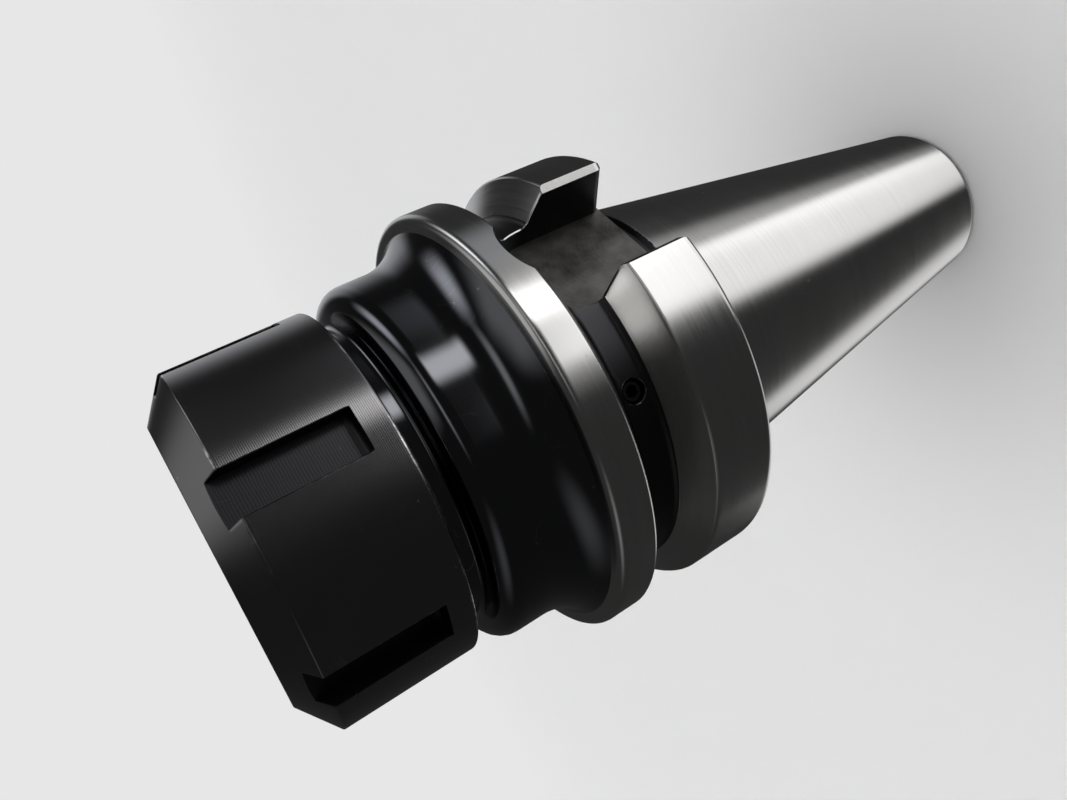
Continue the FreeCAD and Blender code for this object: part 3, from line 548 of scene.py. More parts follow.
    def wall_places(self):
        """Places along a slot's wall on the flange's lower face, from the floor out to the rounding."""
        f = self.flange
        far = np.sqrt((f.radius - f.rounding) ** 2 - self.mouth_half**2)
        return f.slot_floor + self.wall_shares() * (far - f.slot_floor)

    def wall_shares(self):
        """Columns of a slot's wall as shares of its depth, closer together at the outer edge."""
        return np.concatenate([np.linspace(0, 1, self.WALL_COLUMNS + 1)[:-1], [self.WALL_GUARD, 1.0]])

    def add_outside(self):
        """The outside with its drive slots and plug holes. Returns the height where the thread starts.

        The rows of the slots' round ends and mouths are added to the outline's own.
        """
        radius, height, mark, finish = self.outline()
        f = self.flange
        rise = np.linspace(0, np.pi / 2, self.ROUND_ROWS)
        extra = np.concatenate([[self.arc_middle], self.arc_middle + f.slot_half_width * np.sin(rise)])
        extra = np.append(extra, self.slot_low + f.slot_mouth)
        first = np.flatnonzero(np.abs(height - self.slot_low) < SAME_PLACE)[-1]
        last = np.flatnonzero(radius > f.radius - SAME_PLACE)[-1]
        span = slice(first, last + 1)
        old = height[span]
        gap = np.min(np.abs(extra[:, None] - old), axis=1)
        needed = (gap > self.ROW_GAP) | (extra > f.slot_top - SAME_PLACE)
        new = np.sort(np.concatenate([old, extra[needed]]))
        new = new[np.concatenate([[True], np.diff(new) > SAME_PLACE])]
        runs = np.clip(np.searchsorted(old, (new[1:] + new[:-1]) / 2) - 1, 0, len(old) - 2)
        finish = np.concatenate([finish[:first], finish[span][runs], finish[last:]])
        radius = np.concatenate([radius[:first], np.interp(new, old, radius[span]), radius[last + 1 :]])
        mark = np.concatenate([mark[:first], np.interp(new, old, mark[span]), mark[last + 1 :]])
        height = np.concatenate([height[:first], new, height[last + 1 :]])

        width, wall_end, land_x, land_y = self.slot_edges(radius, height)
        opening = np.arctan2(land_y, land_x)[:, None]
        land = opening + self.share * (np.pi - 2 * opening)
        for turn in (0, np.pi):
            self.add_land(radius, height, land + turn, mark, finish, land_y > 0, f.plug_angle + turn)
        rows = np.flatnonzero((height >= self.slot_low - SAME_PLACE) & (height <= f.slot_top + SAME_PLACE))
        rows = rows[rows >= first]
        edges = [width[rows], wall_end[rows], land_x[rows], land_y[rows]]
        for side in (1, -1):
            self.add_slot(height[rows], edges, side)
        return height[-1]

    def add_land(self, radius, height, theta, mark, finish, in_slot, turn):
        """One half of the outside, between the two drive slots, with a plug screw's hole in its groove."""
        marks = np.repeat(mark[:, None], theta.shape[1], axis=1)
        for side in (0, -1):
            marks[in_slot, side] = np.maximum(marks[in_slot, side], self.SLOT_MARK)
        f = self.flange
        keep = np.ones((len(radius) - 1, theta.shape[1] - 1), bool)
        reach = f.plug_radius + self.PLUG_BORDER
        low = np.flatnonzero(height < f.groove_middle - reach)[-1]
        high = np.flatnonzero(height > f.groove_middle + reach)[0]
        middle = theta[(low + high) // 2]
        left = np.searchsorted(middle, turn - reach / f.groove_floor) - 1
        right = np.searchsorted(middle, turn + reach / f.groove_floor)
        keep[low:high, left:right] = False
        self.shell.add_sheet(turned(radius[:, None], height[:, None], theta), marks, finish[:, None], keep)
        self.add_plug_hole(radius, height, theta, (low, high, left, right), turn)

    def add_plug_hole(self, radius, height, theta, cells, turn):
        """A round hole: rings go from the border of the missing cells to a circle about the hole's axis."""
        low, high, left, right = cells
        down, up = np.arange(low, high + 1), np.arange(left, right + 1)
        back_up, back_down = up[::-1][1:], down[::-1][1:]
        rows = np.concatenate([np.full(len(up), low), down[1:], np.full(len(back_up), high), back_down])
        columns = np.concatenate([up, np.full(len(back_down), right), back_up, np.full(len(back_down), left)])
        border_angle, border_height = theta[rows, columns], height[rows]
        f = self.flange
        turned_by = np.arctan2(border_height - f.groove_middle, (border_angle - turn) * f.groove_floor)
        span = slice(low - 2, high + 3)

        def surface(at_height):
            return np.interp(at_height, height[span], radius[span])

        rim = f.plug_radius + self.PLUG_BREAK
        rim_height = f.groove_middle + rim * np.sin(turned_by)
        rim_angle = turn + np.arcsin(rim * np.cos(turned_by) / surface(rim_height))
        ring = np.array(self.PLUG_RINGS)[:, None]
        ring_angle = border_angle + ring * (rim_angle - border_angle)
        ring_height = border_height + ring * (rim_height - border_height)
        # The rim of the hole gets the full edge mark: rubbed uncoated steel that also paints a glint round
        # the rim.
        marks = np.where(ring == 1, 1.0, 0.0)
        self.shell.add_sheet(turned(surface(ring_height), ring_height, ring_angle), marks, MATT)

        out = np.array([np.cos(turn), np.sin(turn), 0])
        along = np.array([-np.sin(turn), np.cos(turn), 0])
        up_way = np.array([0, 0, 1.0])
        rim_out = np.sqrt(surface(rim_height) ** 2 - (rim * np.cos(turned_by)) ** 2)
        wall_out = np.stack([rim_out, rim_out - self.PLUG_BREAK, np.full_like(rim_out, f.plug_floor)])
        wall_out = np.concatenate([wall_out, wall_out[-1:]])[..., None]
        size = np.array([rim, f.plug_radius, f.plug_radius, 0])[:, None, None]
        spoke = np.cos(turned_by)[:, None] * along + np.sin(turned_by)[:, None] * up_way
        wall = wall_out * out + size * spoke + f.groove_middle * up_way
        self.shell.add_sheet(wall, np.array([1.0, 0.6, 0, 0])[:, None], MATT)

    def add_slot(self, height, edges, side):
        """Floor, walls and broken edges of a drive slot, on the +X or the -X side."""
        width, wall_end, land_x, land_y = edges
        f = self.flange
        half = np.linspace(0, 1, self.FLOOR_COLUMNS + 1)
        across = np.concatenate([-half[:0:-1], half])
        y = width[:, None] * across
        z = np.broadcast_to(height[:, None], y.shape)
        floor = np.stack([np.full_like(y, f.slot_floor), y, z], axis=-1)
        turn = np.array([side, side, 1.0])
        self.shell.add_sheet(floor * turn, 0.0, MILLED)
        shares = self.wall_shares()
        x = f.slot_floor + shares * (wall_end - f.slot_floor)[:, None]
        z = np.broadcast_to(height[:, None], x.shape)
        mark = np.where(shares == 1, 1.0, 0.0)
        for hand in (1, -1):
            wall = np.stack([x, np.broadcast_to(hand * width[:, None], x.shape), z], axis=-1)
            self.shell.add_sheet(wall * turn, mark, MATT)
            bevel = np.stack(
                [
                    np.stack([wall_end, hand * width, height], axis=-1),
                    np.stack([land_x, hand * land_y, height], axis=-1),
                ],
                axis=1,
            )
            self.shell.add_sheet(bevel * turn, 1.0, GROUND)

    def add_nose_and_bores(self, start):
        """The nose thread, its tip, and the bores from the collet seat down to the pilot bore."""
        n, b = self.nose, self.bore
        shell = self.shell
        tip_start = n.top - (n.root_radius - n.tip_radius)
        radii = (n.root_radius, n.crest_radius)
        add_thread(shell, self.round, (start, tip_start), n.pitch, radii, FULL_RIDGE, MATT)
        tip = Outline()
        tip.run([(n.root_radius, tip_start, 0, 0), (n.tip_radius, n.top, 0, 1)], [MATT])
        radius, height, mark, _ = tip.arrays()
        shell.add_sheet(turned(radius[:, None], height[:, None], self.round), mark[:, None], MATT)

        half = self.round[::2]
        shell.add_zip(turned(n.tip_radius, n.top, self.round), turned(b.seat_radius, n.top, half), MATT)
        lines = [
            (
                [
                    (b.seat_radius, n.top, 0, 1),
                    (b.seat_foot_radius, b.seat_foot, 0.1 * MM, 1),
                    (b.relief_radius, b.seat_foot, 0.1 * MM, 0),
                    (b.relief_radius, b.relief_foot, 0.2 * MM, 0),
                    (b.stop_wall + b.mouth_chamfer, b.relief_foot, 0.1 * MM, 1),
                    (b.stop_wall, b.relief_foot - b.mouth_chamfer, 0, 0),
                ],
                [SEAT, MATT, MATT, MATT, MATT],
            ),
            (
                [
                    (b.stop_wall, b.stop_foot, 0, 0),
                    (b.coolant_radius, b.stop_foot - b.stop_wall + b.coolant_radius, 0.2 * MM, 0),
                    (b.coolant_radius, b.stud_top + b.stud_wall - b.coolant_radius, 0.2 * MM, 0),
                    (b.stud_wall, b.stud_top, 0, 0),
                ],
                [MATT, MATT, MATT],
            ),
            (
                [
                    (b.stud_wall, b.pilot_top, 0, 0),
                    (b.pilot_radius, b.pilot_top, 0.2 * MM, 0),
                    (b.pilot_radius, b.mouth_chamfer, 0.1 * MM, 1),
                    (b.pilot_radius + b.mouth_chamfer, 0, 0, 1),
                ],
                [MATT, MATT, MATT],
            ),
        ]
        for corners, finishes in lines:
            line = Outline()
            line.run(corners, finishes, step=self.BORE_STEP)
            radius, height, mark, finish = line.arrays()
            shell.add_sheet(turned(radius[:, None], height[:, None], half), mark[:, None], finish[:, None])
        stop_top = b.relief_foot - b.mouth_chamfer
        radii = (b.stop_wall, b.stop_root)
        add_thread(shell, half, (b.stop_foot, stop_top), n.pitch, radii, HALF_RIDGE, MATT)
        radii = (b.stud_wall, b.stud_root)
        add_thread(shell, half, (b.pilot_top, b.stud_top), b.stud_pitch, radii, FULL_RIDGE, MATT)
        ring = self.small_end_radius() - self.taper.small_end_chamfer
        shell.add_zip(turned(ring, 0, self.round), turned(b.pilot_radius + b.mouth_chamfer, 0, half), GLOSS)

    def build(self, materials):
        """The whole skin as one object."""
        start = self.add_outside()
        self.add_nose_and_bores(start)
        return self.shell.finish_piece("holder_body_skin", materials)


class NutShell:
    """The clamping nut's skin: sixths of a turned outline with a wrench slot in each."""

    SLOTS = 6
    LAND_COLUMNS = 32  # columns between two wrench slots, without their guards
    LAND_GUARD = 0.015  # share of a land from its side to the column that guards its shading
    SLOT_COLUMNS = 3  # columns from the middle of a slot to its side
    WALL_SHARES = np.array([0, 0.35, 0.75, 1.0])  # columns of a slot's wall as shares of its depth
    CORNER_STEP = 0.15 * MM  # longest run between two rows in a slot's rounded corner
    SLOT_BREAK = 0.12 * MM  # broken edge of a wrench slot
    BREAK_RISE = 0.4 * MM  # height over which the broken edge grows from a slot's start
    BREAK_DEPTH = 0.8 * MM  # depth of the slot below which the broken edge shrinks
    MOUTH_BREAK = 0.12 * MM  # broken edge of the thread's mouth
    MOUTH_FACE = 0.4 * MM  # height of the front opening's first ring
    LIP_CHAMFER = 0.2 * MM  # chamfer along the lip's hole

    def __init__(self, scene):
        self.size = scene.chuck_nut
        self.pitch = scene.chuck_nose.pitch
        self.shell = Shell()
        half = np.linspace(0, 1, self.SLOT_COLUMNS + 1)
        self.across = np.concatenate([-half[:0:-1], half])
        self.share = guarded_shares(self.LAND_COLUMNS, self.LAND_GUARD)
        s = self.size
        self.knee = s.height - s.cone_height
        self.meet = np.hypot(s.slot_floor, s.slot_half_width)

    def cone(self, radius):
        """Height of the front cone at a radius."""
        s = self.size
        return self.knee + (s.radius - radius) * s.cone_height / (s.radius - s.face_radius)

    def outline(self):
        """The outside from the thread's mouth to the front opening, with the rows that the slots need."""
        s = self.size
        half = s.slot_half_width * np.linspace(0, 1, self.SLOT_COLUMNS + 1)
        meet = np.sqrt(s.slot_floor**2 + half**2)
        line = Outline()
        line.run(
            [
                (s.thread_root, self.MOUTH_BREAK, 0, 0),
                (s.thread_root + self.MOUTH_BREAK, 0, 0, 1),
                (s.radius, 0, s.rounding, 1),
                (s.radius, s.slot_start, 0, 0),
            ],
            [NUT_MATT, NUT, NUT],
        )
        corner_end = s.slot_start + s.slot_corner
        corner = [(s.radius, s.slot_start, 0, 0), (s.radius, corner_end, 0, 0)]
        line.run(corner, [NUT], step=self.CORNER_STEP)
        line.run(
            [
                (s.radius, corner_end, 0, 0),
                (s.radius, self.knee, 0.3 * MM, 1),
                (meet[-1], self.cone(meet[-1]), 0, 0),
            ],
            [NUT, NUT],
        )
        line.add(np.stack([meet[::-1], self.cone(meet[::-1])], axis=1), 0.0, NUT)
        line.run(
            [
                (meet[0], self.cone(meet[0]), 0, 0),
                (s.face_radius, s.height, s.rounding, 0.7),
                (s.mouth_radius, s.height, 0.15 * MM, 1),
                (s.mouth_radius, s.height - self.MOUTH_FACE, 0, 0),
            ],
            [NUT, NUT, NUT],
        )
        return line.arrays()

    def columns(self, radius, height):
        """Angles of the columns in each row: the slot's own columns, then the land up to the next slot."""
        s = self.size
        end = s.slot_half_width / s.radius
        spread = np.sqrt(np.maximum(radius**2 - s.slot_floor**2, 0))
        side = np.where(height > self.knee, np.minimum(spread, s.slot_half_width), s.slot_half_width)
        ease = np.clip((height - s.slot_start) / self.BREAK_RISE, 0, 1)
        ease = ease * np.clip((radius - self.meet) / self.BREAK_DEPTH, 0, 1)
        land_side = side + self.SLOT_BREAK * ease
        front = height > s.slot_start + SAME_PLACE
        sine = np.where(front, side / radius, end)
        land_sine = np.where(front, land_side / radius, end)
        slot = np.arcsin(self.across * sine[:, None])
        opening = np.arcsin(land_sine)[:, None]
        land = opening + self.share * (2 * np.pi / self.SLOTS - 2 * opening)
        return slot, land, side, land_side

    def build(self, materials):
        """The whole skin as one object."""
        s = self.size
        radius, height, mark, finish = self.outline()
        slot, land, side, land_side = self.columns(radius, height)
        low = np.flatnonzero(np.abs(height - s.slot_start) < SAME_PLACE)[0]
        top = np.flatnonzero((height > self.knee) & (np.abs(radius - self.meet) < SAME_PLACE))[0]
        world_height = height[:, None] + s.foot
        for number in range(self.SLOTS):
            turn = s.turn + number * 2 * np.pi / self.SLOTS
            marks = np.repeat(mark[:, None], land.shape[1], axis=1)
            cut = slice(low + 1, top + 1)
            marks[cut, 0] = marks[cut, -1] = 1.0
            points = turned(radius[:, None], world_height, turn + land)
            self.shell.add_sheet(points, marks, finish[:, None])
            under = slice(0, low + 1)
            points = turned(radius[under, None], world_height[under], turn + slot[under])
            self.shell.add_sheet(points, mark[under, None], finish[:low, None])
            span = slice(low, top + 1)
            self.add_slot(radius[span], height[span], side[span], land_side[span], turn)
        self.add_inside(self.whole_ring(slot[0], land[0]), self.whole_ring(slot[-1], land[-1]))
        return self.shell.finish_piece("clamping_nut_skin", materials)

    def whole_ring(self, slot, land):
        """Angles of one row all round: each sixth has the slot's columns and then the land's."""
        sixth = np.concatenate([slot, land[1:]])
        starts = np.arange(self.SLOTS)[:, None] * 2 * np.pi / self.SLOTS
        return self.size.turn + np.concatenate([(starts + sixth[:-1]).ravel(), [sixth[0] + 2 * np.pi]])

    def add_slot(self, radius, z, side, land_side, turn):
        """Floor, rounded end, walls and broken edges of one wrench slot."""
        s = self.size
        corner = s.slot_corner
        under = np.clip(s.slot_start + corner - z, 0, corner)
        inner = s.slot_floor + corner - np.sqrt(np.maximum(corner**2 - under**2, 0))
        y = s.slot_half_width * self.across
        floor = np.stack(
            [
                np.repeat(inner[:, None], len(y), axis=1),
                np.repeat(y[None], len(z), axis=0),
                np.repeat(z[:, None], len(y), axis=1),
            ],
            axis=-1,
        )
        last = np.stack([np.full_like(y, s.slot_floor), y, self.cone(np.hypot(s.slot_floor, y))], axis=-1)
        floor = np.concatenate([floor, last[None]])
        share = self.WALL_SHARES
        mark = np.where(share == 1, 1.0, 0.0)
        out = np.sqrt(s.radius**2 - y**2)
        wall_x = inner[0] + share[:, None] * (out - inner[0])
        wall_y = np.repeat(y[None], len(share), axis=0)
        end_wall = np.stack([wall_x, wall_y, np.full_like(wall_x, s.slot_start)], axis=-1)
        self.place(floor, 0.0, NUT_SLOT, turn)
        self.place(end_wall, mark[:, None], NUT_SLOT, turn)
        wall_end = np.sqrt(radius**2 - s.slot_half_width**2) - (land_side - side)
        wall_end = np.maximum(wall_end, s.slot_floor)
        land_x = np.sqrt(radius**2 - land_side**2)
        x = inner[:, None] + share * (wall_end - inner)[:, None]
        wall_z = np.repeat(z[:, None], len(share), axis=1)
        for hand in (1, -1):
            at = hand * s.slot_half_width
            self.place(np.stack([x, np.full_like(x, at), wall_z], axis=-1), mark, NUT_SLOT, turn)
            bevel = np.stack(
                [
                    np.stack([wall_end, np.full_like(z, at), z], axis=-1),
                    np.stack([land_x, hand * land_side, z], axis=-1),
                ],
                axis=1,
            )
            self.place(bevel, 1.0, NUT, turn)

    def place(self, points, marks, finish, turn):
        """Turns a slot's sheet about the axis and lifts it to the nut's foot."""
        x, y, z = points[..., 0], points[..., 1], points[..., 2]
        turned_x = x * np.cos(turn) - y * np.sin(turn)
        turned_y = x * np.sin(turn) + y * np.cos(turn)
        self.shell.add_sheet(np.stack([turned_x, turned_y, z + self.size.foot], axis=-1), marks, finish)

    def add_inside(self, around, front):
        """Mouth, inner cone, eccentric lip, relief and thread.

        The mouth's wall joins the columns of the front opening to those of the lower face, which all the
        rows below it share. The lip's hole is a circle off the axis: its radius is the offset times the
        cosine, plus the root of the hole's radius squared less the offset times the sine squared.
        """
        s = self.size
        local = around - s.turn
        mouth_heights = np.array([[s.height - self.MOUTH_FACE], [s.mouth_foot]]) + s.foot
        self.shell.add_sheet(turned(s.mouth_radius, mouth_heights, np.stack([front, around])), 0.0, NUT)
        hole = s.lip_offset * np.cos(local) + np.sqrt(s.lip_hole**2 - (s.lip_offset * np.sin(local)) ** 2)
        chamfer = self.LIP_CHAMFER
        step = s.relief_radius - s.thread_root
        rings = [
            (s.mouth_radius, s.mouth_foot),
            (s.cone_foot_radius, s.cone_foot),
            (s.cone_foot_radius, s.lip_top),
            (hole + chamfer / 2, s.lip_top),
            (hole, s.lip_top - chamfer / 2),
            (hole, s.lip_foot + chamfer),
            (hole + chamfer, s.lip_foot),
            (s.relief_radius, s.lip_foot),
            (s.relief_radius, s.relief_foot),
            (s.thread_root, s.relief_foot - step),
        ]
        radius = np.stack([np.broadcast_to(r, local.shape) for r, _ in rings])
        height = np.array([z for _, z in rings])[:, None] + s.foot
        finishes = np.full((len(rings) - 1, 1), NUT_MATT)
        finishes[0] = NUT_SEAT
        self.shell.add_sheet(turned(radius, height, around), 0.0, finishes)
        span = (s.foot + self.MOUTH_BREAK, s.foot + s.relief_foot - step)
        radii = (s.thread_root, s.thread_crest)
        add_thread(self.shell, around, span, self.pitch, radii, NUT_RIDGE, NUT_MATT, phase=0.5)


class Net:
    """Adds and joins shader nodes in one tree."""

    def __init__(self, tree):
        self.tree = tree

    def node(self, kind, inputs=None, **settings):
        """Adds a node, with its settings, and fills the inputs that are given."""
        made = self.tree.nodes.new(kind)
        for key, value in settings.items():
            setattr(made, key, value)
        for key, value in (inputs or {}).items():
            self.put(made.inputs[key], value)
        return made

    def put(self, socket, value):
        """Joins another node's socket to this one, or sets its value."""
        if isinstance(value, bpy.types.NodeSocket):
            self.tree.links.new(value, socket)
        else:
            socket.default_value = value

    def math(self, operation, a, b=0.0, clamp=False):
        """One step of arithmetic on numbers or sockets."""
        return self.node("ShaderNodeMath", {0: a, 1: b}, operation=operation, use_clamp=clamp).outputs[0]

    def ramp(self, value, low, high):
        """An S curve from 0 at low to 1 at high."""
        kind = "ShaderNodeMapRange"
        inputs = {"Value": value, "From Min": low, "From Max": high}
        return self.node(kind, inputs, interpolation_type="SMOOTHSTEP").outputs["Result"]

    def vector(self, operation, a, b=(0.0, 0.0, 0.0)):
        """One step of arithmetic on vectors. Returns the node's outputs."""
        return self.node("ShaderNodeVectorMath", {0: a, 1: b}, operation=operation).outputs

    def scaled(self, vector, number):
        """A vector times a number."""
        return self.node("ShaderNodeVectorMath", {0: vector, "Scale": number}, operation="SCALE").outputs[0]

    def mix(self, share_socket, a, b):
        """Colour a at 0 and colour b at 1. The node's colours are its inputs 6 and 7 and its output 2."""
        inputs = {"Factor": share_socket, 6: a, 7: b}
        return self.node("ShaderNodeMix", inputs, data_type="RGBA").outputs[2]

    def noise(self, vector, scale, detail=3.0, roughness=0.55):
        """Smooth noise from 0 to 1."""
        inputs = {"Vector": vector, "Scale": scale, "Detail": detail, "Roughness": roughness}
        return self.node("ShaderNodeTexNoise", inputs).outputs["Fac"]


def new_group(name, inputs, output):
    """A shader node group of numbers with one output. Returns its net, its inputs and its output."""
    tree = bpy.data.node_groups.new(name, "ShaderNodeTree")
    for label, value in inputs.items():
        socket = tree.interface.new_socket(name=label, in_out="INPUT", socket_type="NodeSocketFloat")
        socket.default_value = value
    tree.interface.new_socket(name=output, in_out="OUTPUT", socket_type="NodeSocketFloat")
    net = Net(tree)
    entry = net.node("NodeGroupInput")
    exit_node = net.node("NodeGroupOutput")
    return net, entry.outputs, exit_node.inputs[output]


def object_place(net):
    """Object coordinates."""
    return net.node("ShaderNodeTexCoord").outputs["Object"]


def split_place(net, place):
    """The X, Y and Z of a place."""
    return net.node("ShaderNodeSeparateXYZ", {0: place}).outputs


def axis_distance(net, place):
    """Distance of a place from the chuck's axis."""
    flat = net.vector("MULTIPLY", place, (1.0, 1.0, 0.0))[0]
    return net.vector("LENGTH", flat)["Value"]


RADIUS_SHARE = 1.9  # weight of the radius in the path along a turned profile, whose height counts once


def turned_lines_group():
    """Lines left by turning or grinding: noise that runs round the axis and changes fast along the profile.

    Even feed marks, a sine of the same path, are mixed in by their share.
    """
    inputs = {"Density": 6000.0, "Spread": 40.0, "Feed": 0.00025, "Feed Share": 0.0}
    net, inputs, output = new_group("turned_lines", inputs, "Lines")
    place = object_place(net)
    split = split_place(net, place)
    sideways = net.math("MULTIPLY", axis_distance(net, place), RADIUS_SHARE)
    along = net.math("ADD", split["Z"], sideways)
    vector = net.node(
        "ShaderNodeCombineXYZ",
        {
            "X": net.math("MULTIPLY", split["X"], inputs["Spread"]),
            "Y": net.math("MULTIPLY", split["Y"], inputs["Spread"]),
            "Z": net.math("MULTIPLY", along, inputs["Density"]),
        },
    ).outputs[0]
    noise = net.noise(vector, 1.0, 2.0, 0.6)
    turn = net.math("MULTIPLY", net.math("DIVIDE", along, inputs["Feed"]), 2 * np.pi)
    ridges = net.math("ADD", net.math("MULTIPLY", net.math("SINE", turn), 0.5), 0.5)
    even = net.math("MULTIPLY", net.math("SUBTRACT", ridges, noise), inputs["Feed Share"])
    net.put(output, net.math("ADD", noise, even))
    return net.tree


WAVER_SCALE = 260.0  # scale of the noise that bends the milling lines
WAVER = 1.6  # how far it bends them, in lines


def milling_lines_group():
    """Marks of an end mill: arcs of one radius that follow each other along a slot."""
    net, inputs, output = new_group("milling_lines", {"Spacing": 0.0004, "Radius": 0.008}, "Lines")
    place = object_place(net)
    split = split_place(net, place)
    across = net.math("POWER", split["Y"], 2.0)
    squares = net.math("SUBTRACT", net.math("POWER", inputs["Radius"], 2.0), across)
    arc = net.math("SUBTRACT", split["Z"], net.math("SQRT", net.math("MAXIMUM", squares, 0.0)))
    waver = net.math("MULTIPLY", net.noise(place, WAVER_SCALE), WAVER)
    turn = net.math("ADD", net.math("DIVIDE", arc, inputs["Spacing"]), waver)
    net.put(output, net.math("ABSOLUTE", net.math("SINE", net.math("MULTIPLY", turn, np.pi))))
    return net.tree


WEAR_AND_GLINT_FADE = 0.35  # rise of the edge value from no rubbed edge to a fully rubbed edge with its painted highlight
WEAR_AND_GLINT_PATCH_SCALE = 110.0  # scale of the noise that gathers the rubbed edges and their painted highlight in patches
WEAR_AND_GLINT_PATCH_LEVEL = 0.7  # level of that noise over which a patch starts where the cover is 0
WEAR_AND_GLINT_PATCH_FADE = 0.1  # rise of that noise across a patch's border


def edge_wear_and_glint_group():
    """Uncoated steel on the outer edges, where the oxide is rubbed off and where a painted highlight stands
    for their glint, ragged by fine noise and kept to patches of coarse noise.
    """
    inputs = {"Edge": 0.0, "Reach": 0.5, "Breakup": 0.9, "Cover": 0.5, "Grain": 900.0}
    net, inputs, output = new_group("edge_wear_and_glint", inputs, "Mask")
    place = object_place(net)
    noise = net.math("SUBTRACT", net.noise(place, inputs["Grain"], 4.0, 0.65), 0.5)
    edge = net.math("ADD", inputs["Edge"], net.math("MULTIPLY", noise, inputs["Breakup"]))
    start = net.math("SUBTRACT", 1.0, inputs["Reach"])
    worn_and_glint = net.ramp(edge, start, net.math("ADD", start, WEAR_AND_GLINT_FADE))
    low = net.math("SUBTRACT", WEAR_AND_GLINT_PATCH_LEVEL, net.math("MULTIPLY", inputs["Cover"], 0.5))
    field = net.noise(place, WEAR_AND_GLINT_PATCH_SCALE, 3.0)
    patches = net.ramp(field, low, net.math("ADD", low, WEAR_AND_GLINT_PATCH_FADE))
    net.put(output, net.math("MULTIPLY", worn_and_glint, patches))
    return net.tree


SCRATCH_TURN = (0.5, 0.9, 0.3)  # radians, turn of the noise that the scratches follow
SCRATCH_STRETCH = (1.0, 7.0, 2.0)  # how the noise is squeezed across them
SCRATCH_PATCH_SCALE = 90.0  # scale of the noise that gathers the scratches in patches
SCRATCH_PATCH_LEVELS = (0.55, 0.7)  # levels of that noise for no scratches and for all


def scratches_group():
    """Hair scratches: thin contour lines of a noise drawn out along one slanting way."""
    net, inputs, output = new_group("scratches", {"Scale": 60.0, "Width": 0.006}, "Mask")
    place = object_place(net)
    mapping = {"Vector": place, "Rotation": SCRATCH_TURN, "Scale": SCRATCH_STRETCH}
    drawn = net.node("ShaderNodeMapping", mapping)
    field = net.noise(drawn.outputs[0], inputs["Scale"], 1.0, 0.4)
    off = net.math("ABSOLUTE", net.math("SUBTRACT", field, 0.5))
    line = net.math("SUBTRACT", 1.0, net.ramp(off, 0.0, inputs["Width"]))
    patches = net.ramp(net.noise(place, SCRATCH_PATCH_SCALE, 2.0), *SCRATCH_PATCH_LEVELS)
    net.put(output, net.math("MULTIPLY", line, patches))
    return net.tree


def specks_group():
    """Small dust specks and nicks: the middles of a few cells of a cell pattern."""
    net, inputs, output = new_group("specks", {"Scale": 700.0, "Size": 0.16, "Share": 0.12}, "Mask")
    place = object_place(net)
    cells = net.node("ShaderNodeTexVoronoi", {"Vector": place, "Scale": inputs["Scale"]})
    chance = net.node("ShaderNodeSeparateColor", {0: cells.outputs["Color"]}).outputs[0]
    chosen = net.math("LESS_THAN", chance, inputs["Share"])
    dot = net.math("SUBTRACT", 1.0, net.ramp(cells.outputs["Distance"], 0.0, inputs["Size"]))
    net.put(output, net.math("MULTIPLY", dot, chosen))
    return net.tree


GROUPS = {}


def group(name):
    """A shared node group, built the first time that a material asks for it."""
    makers = {
        "turned_lines": turned_lines_group,
        "milling_lines": milling_lines_group,
        "edge_wear_and_glint": edge_wear_and_glint_group,
        "scratches": scratches_group,
        "specks": specks_group,
    }
    if name not in GROUPS:
        GROUPS[name] = makers[name]()
    return GROUPS[name]


BRUSH_WAY = 0.25  # turn that stretches highlights across the turned lines
LINE_HEIGHT = 0.00002  # metres, height of the lines in the bump
SCRATCH_DEPTH = 0.3  # depth of a scratch in the bump, as a share of the lines' height
SPECK_ROUGH = 0.25  # roughness that a speck adds


